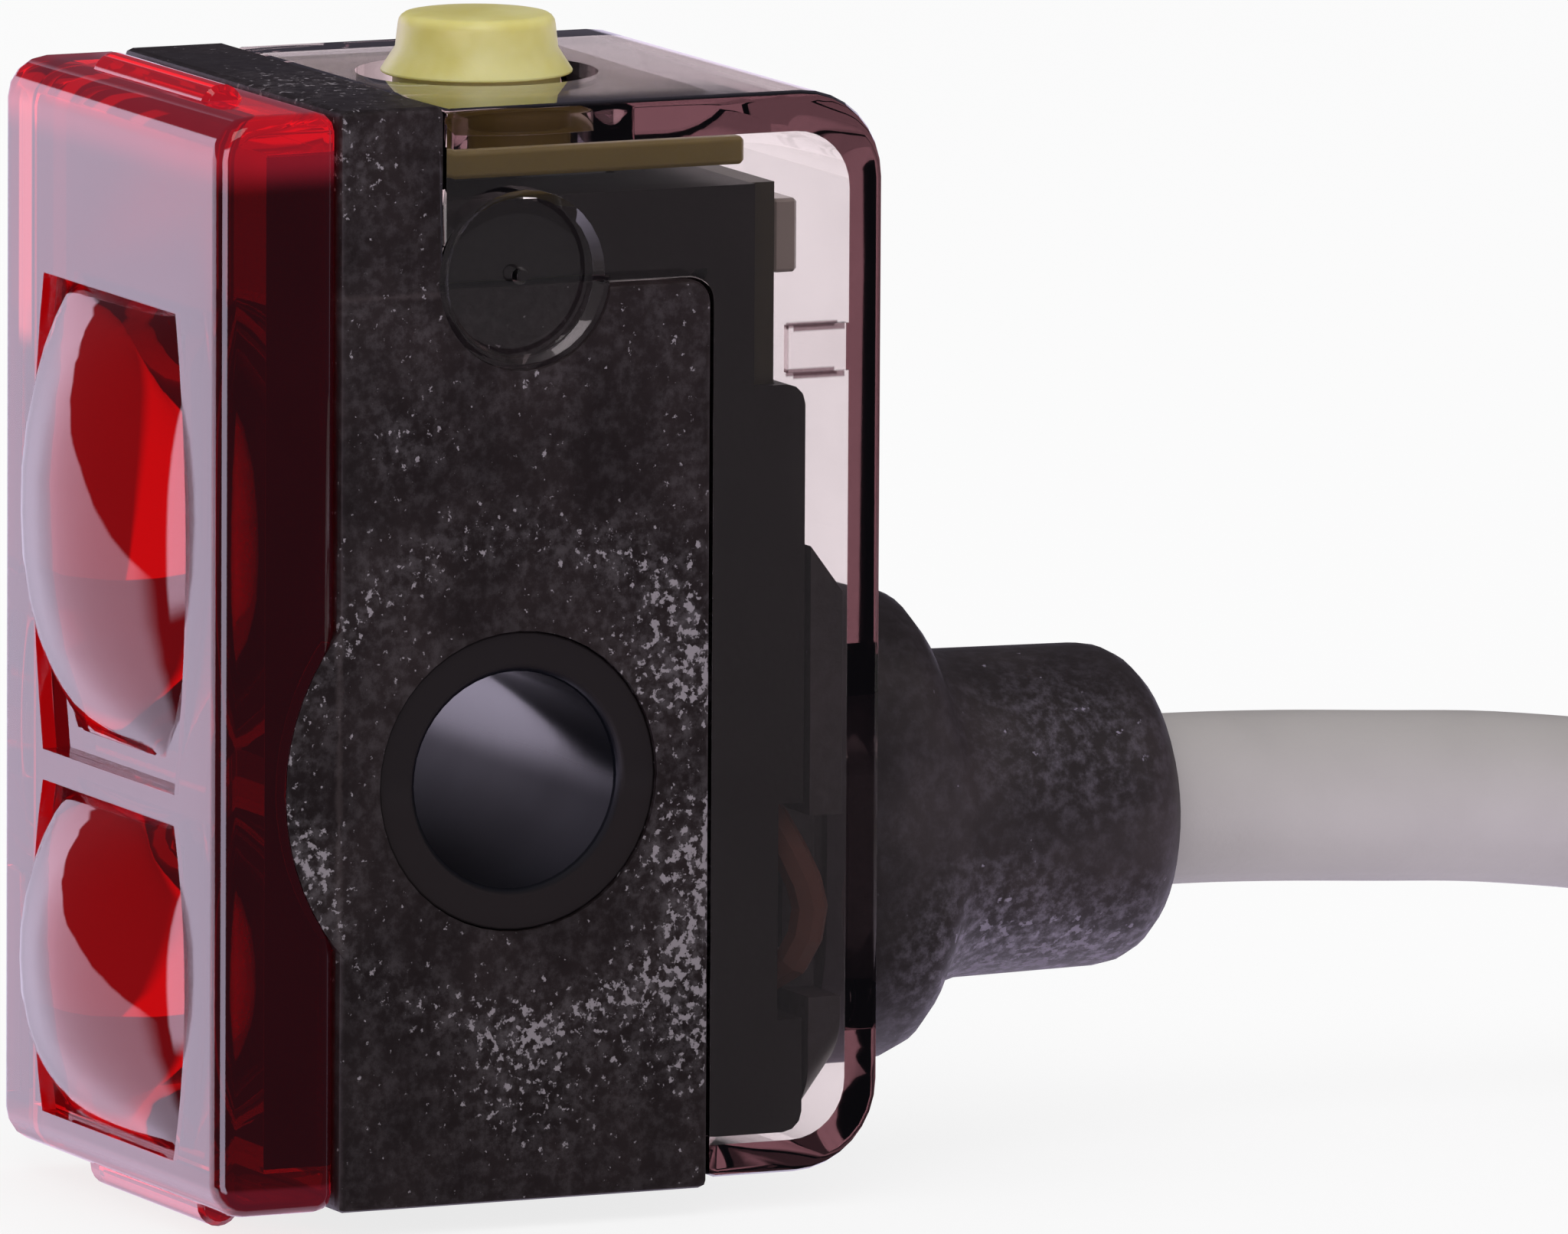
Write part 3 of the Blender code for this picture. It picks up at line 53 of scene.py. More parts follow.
cameraView = {
    "azimuth": 65.237,
    "elevation": 8.475,
    "roll": 0.33,
    "distance": 413.18,
    "focalPixels": 36710.7,
    "imageWidth": 2048,
    "aim": (0, 5, 8),
    "asideRight": 5.339,
    "asideUp": 0.112,
}


def addCamera(view):
    turn = radians(view["azimuth"])
    tilt = radians(view["elevation"])
    roll = radians(view["roll"])
    right = Vector((cos(turn), sin(turn), 0))
    back = Vector((sin(turn) * cos(tilt), -cos(turn) * cos(tilt), sin(tilt)))
    up = back.cross(right)
    spot = place(*view["aim"]) + back * view["distance"] * mm
    spot += right * view["asideRight"] * mm + up * view["asideUp"] * mm
    rolledRight = right * cos(roll) + up * sin(roll)
    rolledUp = up * cos(roll) - right * sin(roll)
    data = bpy.data.cameras.new("camera")
    data.sensor_width = 36
    data.lens = view["focalPixels"] / view["imageWidth"] * data.sensor_width
    data.clip_start = 0.01
    data.clip_end = 20
    camera = bpy.data.objects.new("camera", data)
    scene.collection.objects.link(camera)
    axes = Matrix((rolledRight, rolledUp, back)).transposed().to_4x4()
    camera.matrix_world = Matrix.Translation(spot) @ axes
    scene.camera = camera


addCamera(cameraView)
print("camera placed")


# shader helpers

def link(tree, source, target):
    tree.links.new(source, target)


def feed(tree, socket, value):
    # a socket takes a plain value or another node's output
    if isinstance(value, bpy.types.NodeSocket):
        tree.links.new(value, socket)
    else:
        socket.default_value = value


def maths(tree, operation, *values):
    node = tree.nodes.new("ShaderNodeMath")
    node.operation = operation
    for socket, value in zip(node.inputs, values):
        feed(tree, socket, value)
    return node.outputs[0]


def inverted(tree, mask):
    return maths(tree, "SUBTRACT", 1.0, mask)


def times(tree, first, *others):
    for other in others:
        first = maths(tree, "MULTIPLY", first, other)
    return first


def vectorMaths(tree, operation, *values):
    node = tree.nodes.new("ShaderNodeVectorMath")
    node.operation = operation
    for socket, value in zip(node.inputs, values):
        feed(tree, socket, value)
    return node.outputs["Value" if operation in ("DISTANCE", "DOT_PRODUCT") else "Vector"]


def splitAxes(tree, vector):
    node = tree.nodes.new("ShaderNodeSeparateXYZ")
    link(tree, vector, node.inputs[0])
    return node.outputs


def smoothStep(tree, value, low, high):
    node = tree.nodes.new("ShaderNodeMapRange")
    node.interpolation_type = "SMOOTHSTEP"
    feed(tree, node.inputs["Value"], value)
    feed(tree, node.inputs["From Min"], low)
    feed(tree, node.inputs["From Max"], high)
    return node.outputs["Result"]


def mixColour(tree, factor, first, second):
    node = tree.nodes.new("ShaderNodeMix")
    node.data_type = "RGBA"
    feed(tree, node.inputs["Factor"], factor)
    feed(tree, node.inputs[6], first)  # 6, 7 and output 2 are the colour sockets
    feed(tree, node.inputs[7], second)
    return node.outputs[2]


def noise(tree, vector, scale, detail=3.0, roughness=0.55):
    node = tree.nodes.new("ShaderNodeTexNoise")
    feed(tree, node.inputs["Vector"], vector)
    feed(tree, node.inputs["Scale"], scale)
    node.inputs["Detail"].default_value = detail
    node.inputs["Roughness"].default_value = roughness
    return node.outputs["Fac"]


def newGroup(name, inputs, outputs):
    tree = bpy.data.node_groups.new(name, "ShaderNodeTree")
    for title, kind, value in inputs:
        socket = tree.interface.new_socket(title, in_out="INPUT", socket_type=kind)
        socket.default_value = value
    for title, kind in outputs:
        tree.interface.new_socket(title, in_out="OUTPUT", socket_type=kind)
    return tree, tree.nodes.new("NodeGroupInput").outputs, tree.nodes.new("NodeGroupOutput").inputs


def makeMouldGrain():
    # the fine spark-eroded grain of a moulded surface, with faint larger flow patches
    tree, given, result = newGroup(
        "mouldGrain",
        [
            ("Vector", "NodeSocketVector", (0, 0, 0)),
            ("Scale", "NodeSocketFloat", 9000.0),
            ("Patch Scale", "NodeSocketFloat", 500.0),
        ],
        [("Height", "NodeSocketFloat"), ("Patch", "NodeSocketFloat")],
    )
    fine = noise(tree, given["Vector"], given["Scale"], 4.0, 0.7)
    pits = tree.nodes.new("ShaderNodeTexVoronoi")
    link(tree, given["Vector"], pits.inputs["Vector"])
    link(tree, times(tree, given["Scale"], 0.8), pits.inputs["Scale"])
    pitDepth = smoothStep(tree, pits.outputs["Distance"], 0.0, 0.8)
    link(tree, maths(tree, "MULTIPLY_ADD", fine, 0.7, times(tree, pitDepth, 0.3)), result["Height"])
    link(tree, noise(tree, given["Vector"], given["Patch Scale"], 3.0), result["Patch"])
    return tree


def makeDustFlecks():
    # ragged flecks of dust that run together where the coverage is high
    tree, given, result = newGroup(
        "dustFlecks",
        [
            ("Vector", "NodeSocketVector", (0, 0, 0)),
            ("Scale", "NodeSocketFloat", 6000.0),
            ("Coverage", "NodeSocketFloat", 0.3),
        ],
        [("Mask", "NodeSocketFloat")],
    )
    flecks = noise(tree, given["Vector"], given["Scale"], 3.0, 0.62)
    floor = maths(tree, "MULTIPLY_ADD", given["Coverage"], -0.24, 0.735)
    link(tree, smoothStep(tree, flecks, floor, maths(tree, "ADD", floor, 0.07)), result["Mask"])
    return tree


def makeEdgeWear():
    # how near a point is to an edge of the box from Low to High: 1 on the edge, 0 past Width
    tree, given, result = newGroup(
        "edgeWear",
        [
            ("Vector", "NodeSocketVector", (0, 0, 0)),
            ("Low", "NodeSocketVector", (0, 0, 0)),
            ("High", "NodeSocketVector", (0, 0, 0)),
            ("Width", "NodeSocketFloat", 0.0002),
            ("Break Up", "NodeSocketFloat", 2500.0),
        ],
        [("Mask", "NodeSocketFloat")],
    )
    axes = []
    for corner in ("Low", "High"):
        away = vectorMaths(tree, "SUBTRACT", given["Vector"], given[corner])
        axes.append(splitAxes(tree, vectorMaths(tree, "ABSOLUTE", away)))
    gaps = [maths(tree, "MINIMUM", axes[0][k], axes[1][k]) for k in range(3)]
    lowest = maths(tree, "MINIMUM", gaps[0], maths(tree, "MINIMUM", gaps[1], gaps[2]))
    highest = maths(tree, "MAXIMUM", gaps[0], maths(tree, "MAXIMUM", gaps[1], gaps[2]))
    total = maths(tree, "ADD", gaps[0], maths(tree, "ADD", gaps[1], gaps[2]))
    second = maths(tree, "SUBTRACT", total, maths(tree, "ADD", lowest, highest))
    broken = noise(tree, given["Vector"], given["Break Up"], 4.0, 0.7)
    width = times(tree, given["Width"], maths(tree, "MULTIPLY_ADD", broken, 2.4, -0.6))
    link(tree, inverted(tree, smoothStep(tree, second, 0.0, width)), result["Mask"])
    return tree


mouldGrain = makeMouldGrain()
dustFlecks = makeDustFlecks()
edgeWear = makeEdgeWear()


def useGroup(tree, group, **values):
    node = tree.nodes.new("ShaderNodeGroup")
    node.node_tree = group
    for title, value in values.items():
        feed(tree, node.inputs[title.replace("_", " ")], value)
    return node.outputs


def newMaterial(name, colour, roughness, metallic=0.0, specular=0.5):
    material = bpy.data.materials.new(name)
    material.use_nodes = True
    tree = material.node_tree
    shader = tree.nodes["Principled BSDF"]
    shader.inputs["Base Color"].default_value = (*colour, 1)
    shader.inputs["Roughness"].default_value = roughness
    shader.inputs["Metallic"].default_value = metallic
    shader.inputs["Specular IOR Level"].default_value = specular
    coordinates = tree.nodes.new("ShaderNodeTexCoord").outputs["Object"]
    return material, tree, shader.inputs, coordinates


def bump(tree, sockets, height, distance):
    node = tree.nodes.new("ShaderNodeBump")
    node.inputs["Distance"].default_value = distance
    link(tree, height, node.inputs["Height"])
    link(tree, node.outputs["Normal"], sockets["Normal"])


def letLampsThrough(material, tint):
    # lamps reach what lies behind the clear plastic, tinted by it
    tree = material.node_tree
    shader = tree.nodes["Principled BSDF"]
    output = tree.nodes["Material Output"]
    path = tree.nodes.new("ShaderNodeLightPath")
    passing = tree.nodes.new("ShaderNodeBsdfTransparent")
    passing.inputs["Color"].default_value = (*tint, 1)
    mix = tree.nodes.new("ShaderNodeMixShader")
    link(tree, path.outputs["Is Shadow Ray"], mix.inputs[0])
    link(tree, shader.outputs[0], mix.inputs[1])
    link(tree, passing.outputs[0], mix.inputs[2])
    link(tree, mix.outputs[0], output.inputs["Surface"])


def near(tree, coordinates, centre, reach):
    # 1 at a point of the surface, falling to 0 at reach
    distance = vectorMaths(tree, "DISTANCE", coordinates, centre)
    return inverted(tree, smoothStep(tree, distance, 0.0, reach))


def onRing(tree, coordinates, centre, radius, width):
    # 1 at a given distance from a point, falling to 0 over width to either side
    distance = vectorMaths(tree, "DISTANCE", coordinates, centre)
    off = maths(tree, "ABSOLUTE", maths(tree, "SUBTRACT", distance, radius))
    return inverted(tree, smoothStep(tree, off, 0.0, width))


def between(tree, value, low, high, soft):
    # 1 from low to high, falling to 0 over soft outside them
    falling = inverted(tree, smoothStep(tree, value, high, high + soft))
    return times(tree, smoothStep(tree, value, low - soft, low), falling)


wear = {
    "hazeScale": 4600.0,
    "fleckRoughness": 0.85,
    "edgeWidth": 0.14,
    "edgeShare": 0.35,
}


def speckledPlastic(name, look, clouds, rings=(), edges=None):
    # matte moulded plastic with grain, dust that gathers in given places (on the gland these clouds also
    # paint a lilac sheen), and rubbed edges
    colour, dustAndSheen = look["colour"], (*look["dustAndSheen"], 1)
    material, tree, sockets, coordinates = newMaterial(
        name, colour, look["roughness"], specular=look["specular"]
    )
    grain = useGroup(tree, mouldGrain, Vector=coordinates, Scale=look["grainScale"])
    lighter = tuple(c * 1.7 + 0.002 for c in colour)
    shade = mixColour(tree, smoothStep(tree, grain["Patch"], 0.35, 0.75), (*colour, 1), (*lighter, 1))
    coverage = times(tree, grain["Patch"], look["sparse"])
    for centre, reach, amount in clouds:
        cloud = near(tree, coordinates, centre, reach * mm)
        coverage = maths(tree, "MULTIPLY_ADD", cloud, amount, coverage)
    for centre, radius, width, amount in rings:
        band = onRing(tree, coordinates, centre, radius * mm, width * mm)
        coverage = maths(tree, "MULTIPLY_ADD", band, amount, coverage)
    flecks = useGroup(
        tree, dustFlecks, Vector=coordinates, Scale=look["fleckScale"], Coverage=coverage
    )["Mask"]
    if edges:
        low, high = edges
        worn = useGroup(
            tree, edgeWear, Vector=coordinates, Low=low, High=high, Width=wear["edgeWidth"] * mm
        )["Mask"]
        rubbed = tuple(c * 4 + 0.02 for c in colour)
        shade = mixColour(tree, times(tree, worn, wear["edgeShare"]), shade, (*rubbed, 1))
    patches = smoothStep(tree, noise(tree, coordinates, wear["hazeScale"], 5.0, 0.7), 0.4, 0.72)
    shade = mixColour(tree, times(tree, patches, coverage, look["haze"]), shade, dustAndSheen)
    shade = mixColour(tree, times(tree, flecks, look["dustStrength"]), shade, dustAndSheen)
    link(tree, shade, sockets["Base Color"])
    rough = maths(tree, "MULTIPLY_ADD", grain["Patch"], 0.2, look["roughness"] - 0.1)
    rough = maths(tree, "MAXIMUM", rough, times(tree, flecks, wear["fleckRoughness"]))
    link(tree, rough, sockets["Roughness"])
    bump(tree, sockets, grain["Height"], look["grainDepth"] * mm)
    return material


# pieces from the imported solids, with merged faces and finely rounded edges

def addPiece(name, mesh, material, body, *nodes):
    piece = bpy.data.objects.new(name, mesh)
    scene.collection.objects.link(piece)
    mesh.materials.clear()
    mesh.materials.append(material)
    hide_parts(*nodes)
    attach(piece, body)
    return piece


def refined(name, node, material, body, rounding=0.0, sharp=32, flat=0.3):
    # sharp and flat are angles in degrees: edges above sharp are rounded, faces below flat are merged
    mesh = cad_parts[node].data.copy()
    mesh.name = name
    shape = bmesh.new()
    shape.from_mesh(mesh)
    bmesh.ops.remove_doubles(shape, verts=shape.verts, dist=0.002 * mm)
    bmesh.ops.dissolve_limit(shape, angle_limit=radians(flat), verts=shape.verts, edges=shape.edges)
    for face in shape.faces:
        face.smooth = True
    for edge in shape.edges:
        edge.smooth = len(edge.link_faces) == 2 and edge.calc_face_angle(0) < radians(sharp)
    shape.to_mesh(mesh)
    shape.free()
    piece = addPiece(name, mesh, material, body, node)
    if rounding:
        bevel = piece.modifiers.new("rounding", "BEVEL")
        bevel.width = rounding * mm
        bevel.segments = 2
        bevel.limit_method = "ANGLE"
        bevel.angle_limit = radians(sharp)
    even = piece.modifiers.new("evenFaces", "WEIGHTED_NORMAL")
    even.keep_sharp = True
    return piece


# cable: out of the gland, down to the floor, two turns, and up into the plug

cable = {
    "diameter": 2.58,
    "length": 200,
    "fall": [
        (0, 15.8, 4.66),
        (0, 16.6, 4.66),
        (0, 18.1, 4.63),
        (0, 20.5, 4.5),
        (0, 22.9, 4.32),
        (0, 25.4, 3.9),
        (0, 27.8, 3.12),
        (0, 30.2, 2.06),
        (0, 32.8, 1.2),
        (0, 36.6, 0.9),
    ],
    "coilRadius": 13.2,
    "coilDepth": 39.4,
    "turns": 2,
    "lowHeight": 0.9,
    "highHeight": 3.54,
    "riseStart": 245,
    "riseEnd": 325,
    "pointsPerTurn": 20,
    "intoPlug": [(0, 42.8, 3.62), (0, 46, 4.05), (0, 48.8, 4.58), (0, 50.9, 4.68)],
    "colour": (0.41, 0.38, 0.375),
    "mark": (0.2, 0.17, 0.17),
    "roughness": 0.45,
    "specular": 0.3,
    "grainScale": 7000.0,
    "patchScale": 260.0,
    "markScale": 3500.0,
    "grainDepth": 0.006,
}


def cableRoute(settings):
    # down to the floor, round the coil with one rise by a cable's thickness, and up into the plug
    route = list(settings["fall"])
    radius = settings["coilRadius"]
    start, end = settings["riseStart"], settings["riseEnd"]
    low, high = settings["lowHeight"], settings["highHeight"]
    for k in range(settings["turns"] * settings["pointsPerTurn"] + 1):
        degrees = 360 * k / settings["pointsPerTurn"]
        climb = min(1, max(0, (degrees - start) / (end - start)))
        climb = climb * climb * (3 - 2 * climb)
        turn = radians(degrees)
        depth = settings["coilDepth"] + radius * sin(turn)
        route.append((radius * (1 - cos(turn)), depth, low + (high - low) * climb))
    route += settings["intoPlug"]
    return [place(*point) for point in route]


def jacketMaterial(settings):
    colour = settings["colour"]
    material, tree, sockets, coordinates = newMaterial(
        "cableJacket", colour, settings["roughness"], specular=settings["specular"]
    )
    grain = useGroup(
        tree,
        mouldGrain,
        Vector=coordinates,
        Scale=settings["grainScale"],
        Patch_Scale=settings["patchScale"],
    )
    dark = tuple(c * 0.9 for c in colour)
    shade = mixColour(tree, smoothStep(tree, grain["Patch"], 0.3, 0.7), (*dark, 1), (*colour, 1))
    marks = useGroup(
        tree, dustFlecks, Vector=coordinates, Scale=settings["markScale"], Coverage=0.05
    )["Mask"]
    shade = mixColour(tree, times(tree, marks, 0.4), shade, (*settings["mark"], 1))
    link(tree, shade, sockets["Base Color"])
    rough = maths(tree, "MULTIPLY_ADD", grain["Patch"], 0.25, settings["roughness"] - 0.12)
    link(tree, rough, sockets["Roughness"])
    bump(tree, sockets, grain["Height"], settings["grainDepth"] * mm)
    return material


def addCable(settings):
    curve = bpy.data.curves.new("cableJacket", "CURVE")
    curve.dimensions = "3D"
    curve.bevel_depth = settings["diameter"] / 2 * mm
    curve.bevel_resolution = 8
    curve.resolution_u = 6
    curve.use_fill_caps = True
    spline = curve.splines.new("BEZIER")
    route = cableRoute(settings)
    spline.bezier_points.add(len(route) - 1)
    for point, spot in zip(spline.bezier_points, route):
        point.co = spot
        point.handle_left_type = point.handle_right_type = "AUTO"
    curve.materials.append(jacketMaterial(settings))
    piece = bpy.data.objects.new("cableJacket", curve)
    scene.collection.objects.link(piece)
    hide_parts("cable", "cable_coil", "cable_tail")
    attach(piece, "housing")
    return piece


cableJacket = addCable(cable)
print("cable laid")


# red window

window = {
    "surface": (1.0, 0.9, 0.92),
    "absorbed": (0.983, 0.02, 0.16),
    "absorption": 5200.0,
    "shadow": (0.75, 0.2, 0.25),
    # painted shade: a dark tint on the window's long sides
    "side": (0.07, 0.03, 0.035),
    "sideEdge": 3.86,
    "browHeight": 15.45,
    "footHeight": 0.4,
    # painted glow: emission colours for the brow, foot and front flat, and for the strip at the far edge
    "paintedGlow": (0.09, 0.007, 0.015),
    "footShare": 0.7,
    "flatShare": 0.11,
    "paintedStrip": (0.4, 0.05, 0.05),
    "stripAcross": (-3.32, -2.9),
    "stripHeights": (12.3, 15.5),
    "roughness": 0.02,
    "refraction": 1.58,
    "waviness": 0.0004,
    "rounding": 0.05,
}


def sideMask(tree, coordinates, look):
    # 1 on the window's long sides below the brow, behind its rounded front edge, where a dark tint paints
    # the shade of the sides
    x, y, z = splitAxes(tree, coordinates)
    brow, edge = place(0, 0, look["browHeight"]).z, look["sideEdge"] * mm
    outer = smoothStep(tree, maths(tree, "ABSOLUTE", x), edge - 0.06 * mm, edge + 0.02 * mm)
    above = smoothStep(tree, z, brow - 0.45 * mm, brow + 0.1 * mm)
    return times(tree, outer, inverted(tree, above))


def windowGlow(tree, coordinates, look):
    # painted glow, an emission that stands in for light that the red plastic pipes to its edges: brow,
    # foot, front flat and the strip at its far edge
    x, y, z = splitAxes(tree, coordinates)
    brow, foot = (place(0, 0, look[height]).z for height in ("browHeight", "footHeight"))
    high = smoothStep(tree, z, brow - 0.5 * mm, brow + 0.1 * mm)
    low = times(tree, inverted(tree, smoothStep(tree, z, foot, foot + 0.1 * mm)), look["footShare"])
    share = maths(tree, "MAXIMUM", high, maths(tree, "MAXIMUM", low, look["flatShare"]))
    cloudy = maths(tree, "MULTIPLY_ADD", noise(tree, coordinates, 500.0, 2.0), 0.5, 0.75)
    paintedGlow = mixColour(tree, times(tree, share, cloudy), (0, 0, 0, 1), (*look["paintedGlow"], 1))
    front = place(0, 0, 0).y
    left, right = (across * mm for across in look["stripAcross"])
    bottom, top = (place(0, 0, height).z for height in look["stripHeights"])
    paintedStrip = times(
        tree,
        between(tree, x, left, right, 0.06 * mm),
        between(tree, z, bottom, top, 0.4 * mm),
        between(tree, y, front - 0.02 * mm, front + 0.03 * mm, 0.02 * mm),
    )
    return mixColour(tree, paintedStrip, paintedGlow, (*look["paintedStrip"], 1))


def ribMask(tree, coordinates, look):
    # 1 on the rounded upper and lower edges of the rib pads inside the clear housing, where dark lines
    # paint the shade that these edges show
    x, y, z = splitAxes(tree, coordinates)
    lines = 0.0
    for height in look["ribHeights"]:
        edge = place(0, 0, height).z
        line = between(tree, z, edge - 0.03 * mm, edge + 0.03 * mm, 0.04 * mm)
        lines = maths(tree, "MAXIMUM", lines, line)
    front, rear = (place(0, depth, 0).y for depth in look["ribDepths"])
    return times(tree, between(tree, y, front, rear, 0.03 * mm), lines)


def clearPlastic(name, look):
    # polished clear plastic that takes its colour from its depth, with painted shade on the window's sides
    # and rib edges and a painted glow on the window's edges where the look asks for them
    surface, roughness = look["surface"], look["roughness"]
    material, tree, sockets, coordinates = newMaterial(name, surface, roughness)
    sockets["Transmission Weight"].default_value = 1.0
    sockets["IOR"].default_value = look["refraction"]
    flow = noise(tree, coordinates, 420.0, 2.0)
    duller = tuple(c * 0.94 for c in surface)
    tint = mixColour(tree, smoothStep(tree, flow, 0.4, 0.7), (*surface, 1), (*duller, 1))
    if "side" in look:
        # painted shade on the window's long sides
        tint = mixColour(tree, sideMask(tree, coordinates, look), tint, (*look["side"], 1))
        # painted glow on the window's edges, as emission
        link(tree, windowGlow(tree, coordinates, look), sockets["Emission Color"])
        sockets["Emission Strength"].default_value = 1.0
        material.cycles.emission_sampling = "NONE"
    if "paintedRibShade" in look:
        # painted shade along the rib pads' edges
        tint = mixColour(tree, ribMask(tree, coordinates, look), tint, (*look["paintedRibShade"], 1))
    link(tree, tint, sockets["Base Color"])
    link(tree, maths(tree, "MULTIPLY_ADD", flow, roughness, roughness * 0.5), sockets["Roughness"])
    bump(tree, sockets, flow, look["waviness"] * mm)
    depth = tree.nodes.new("ShaderNodeVolumeAbsorption")
    depth.inputs["Color"].default_value = (*look["absorbed"], 1)
    depth.inputs["Density"].default_value = look["absorption"]
    link(tree, depth.outputs[0], tree.nodes["Material Output"].inputs["Volume"])
    letLampsThrough(material, look["shadow"])
    return material


redPlastic = clearPlastic("redWindowPlastic", window)
windowPiece = refined(
    "windowCover", "window_cover", redPlastic, "housing", window["rounding"], sharp=40, flat=0.2
)
print("window made")


# black body and its lined bore

bodyLook = {
    "colour": (0.0095, 0.0054, 0.0058),
    "dustAndSheen": (0.24, 0.21, 0.235),
    "dustStrength": 0.85,
    "sparse": 0.6,
    "roughness": 0.5,
    "specular": 0.25,
    "grainScale": 9000.0,
    "grainDepth": 0.004,
    "fleckScale": 7200.0,
    "haze": 0.24,
    "rounding": 0.02,
}

dustClouds = [
    (place(4, 7.7, 2.6), 2.0, 0.75),
    (place(4, 7.8, 5.0), 1.9, 0.7),
    (place(4, 7.5, 7.6), 1.7, 0.6),
    (place(4, 7.0, 9.2), 1.5, 0.3),
    (place(4, 5.0, 1.9), 1.9, 0.45),
    (place(4, 1.4, 5.2), 1.2, 0.45),
    (place(4, 1.9, 15.6), 1.2, 0.3),
    (place(4, 3.0, 11.3), 1.0, 0.35),
    (place(1, 2.8, 16.2), 3.2, 0.4),
]
dustRings = [(place(4, 4.79, 6.22), 3.6, 0.7, 0.3)]
bodyEdges = (place(-4, 1.93, 0), place(4, 7.87, 13.45))
blackPlastic = speckledPlastic("blackBodyPlastic", bodyLook, dustClouds, dustRings, bodyEdges)
bodyPiece = refined("blackBody", "main_body", blackPlastic, "housing", bodyLook["rounding"], sharp=30)

sleeveLook = {
    "colour": (0.005, 0.005, 0.008),
    "flange": (0.0125, 0.009, 0.01),
    "flangeStart": (1.62, 1.7),
    "boreMiddle": (0, 4.7925, 6.2208),
    "roughness": 0.14,
    "lowerRoughness": 0.4,
    "specular": 0.2,
    "grainScale": 6000.0,
    "grainDepth": 0.004,
    "rounding": 0.03,
}


def linerMaterial(look):
    # glossy inside the bore and duller below, matte like the body on the flange
    colour, flange = (*look["colour"], 1), (*look["flange"], 1)
    material, tree, sockets, coordinates = newMaterial(
        "boreLiner", look["colour"], look["roughness"], specular=look["specular"]
    )
    middle = place(*look["boreMiddle"])
    fromSide = vectorMaths(tree, "MULTIPLY", coordinates, (0, 1, 1))
    fromAxis = vectorMaths(tree, "DISTANCE", fromSide, (0, middle.y, middle.z))
    start, end = look["flangeStart"]
    outside = smoothStep(tree, fromAxis, start * mm, end * mm)
    link(tree, mixColour(tree, outside, colour, flange), sockets["Base Color"])
    grain = useGroup(tree, mouldGrain, Vector=coordinates, Scale=look["grainScale"])
    x, y, z = splitAxes(tree, coordinates)
    low = inverted(tree, smoothStep(tree, z, middle.z - 0.5 * mm, middle.z + 0.2 * mm))
    rough = maths(tree, "MULTIPLY_ADD", grain["Patch"], 0.12, look["roughness"] - 0.04)
    rough = maths(tree, "MULTIPLY_ADD", low, look["lowerRoughness"], rough)
    link(tree, maths(tree, "MULTIPLY_ADD", outside, 0.4, rough), sockets["Roughness"])
    height = times(tree, grain["Height"], maths(tree, "MULTIPLY_ADD", outside, 0.9, 0.1))
    bump(tree, sockets, height, look["grainDepth"] * mm)
    return material


boreLiner = linerMaterial(sleeveLook)
sleevePiece = refined("boreSleeve", "mounting_sleeve", boreLiner, "housing", sleeveLook["rounding"])
print("body and sleeve made")


# clear rear housing

housingLook = {
    "surface": (1.0, 0.985, 0.995),
    "absorbed": (0.3, 0.0, 0.06),
    "absorption": 360.0,
    "shadow": (0.62, 0.56, 0.57),
    # painted shade: dark lines on the rib pads' rounded edges
    "paintedRibShade": (0.12, 0.07, 0.08),
    "ribHeights": (11.95, 12.65),
    "ribDepths": (9.2, 10.0),
    "roughness": 0.02,
    "refraction": 1.55,
    "waviness": 0.0003,
    "rounding": 0.04,
}
smokyPlastic = clearPlastic("smokyClearPlastic", housingLook)
housingPiece = refined(
    "clearHousing", "rear_housing", smokyPlastic, "housing", housingLook["rounding"], sharp=34
)
print("clear housing made")


# teach button

buttonLook = {
    "colour": (0.62, 0.54, 0.14),
    "pale": (0.74, 0.68, 0.3),
    # painted shade: the button's colour below the top wall
    "inside": (0.21, 0.165, 0.03),
    "wallHeight": 16.0,
    "milkiness": 0.35,
    "milkColour": (1.0, 0.8, 0.25),
    "milkDepth": 0.4,
    "roughness": 0.36,
    "grainDepth": 0.004,
    "rounding": 0.03,
}


def buttonMaterial(look):
    # milky yellow, with painted shade below the top wall, where it lies in shade
    colour, roughness = look["colour"], look["roughness"]
    material, tree, sockets, coordinates = newMaterial("milkyYellowPlastic", colour, roughness)
    sockets["Subsurface Weight"].default_value = look["milkiness"]
    sockets["Subsurface Radius"].default_value = look["milkColour"]
    sockets["Subsurface Scale"].default_value = look["milkDepth"] * mm
    grain = useGroup(tree, mouldGrain, Vector=coordinates, Scale=8000.0, Patch_Scale=700.0)
    paler = smoothStep(tree, grain["Patch"], 0.3, 0.75)
    shade = mixColour(tree, paler, (*colour, 1), (*look["pale"], 1))
    x, y, z = splitAxes(tree, coordinates)
    wall = place(0, 0, look["wallHeight"]).z
    outside = smoothStep(tree, z, wall - 0.15 * mm, wall + 0.15 * mm)
    # painted shade below the top wall
    link(tree, mixColour(tree, outside, (*look["inside"], 1), shade), sockets["Base Color"])
    link(tree, maths(tree, "MULTIPLY_ADD", grain["Patch"], 0.2, roughness - 0.1), sockets["Roughness"])
    bump(tree, sockets, grain["Height"], look["grainDepth"] * mm)
    return material


milkyPlastic = buttonMaterial(buttonLook)
buttonPiece = refined("teachButton", "teach_button", milkyPlastic, "button", buttonLook["rounding"])
print("button made")


# gland

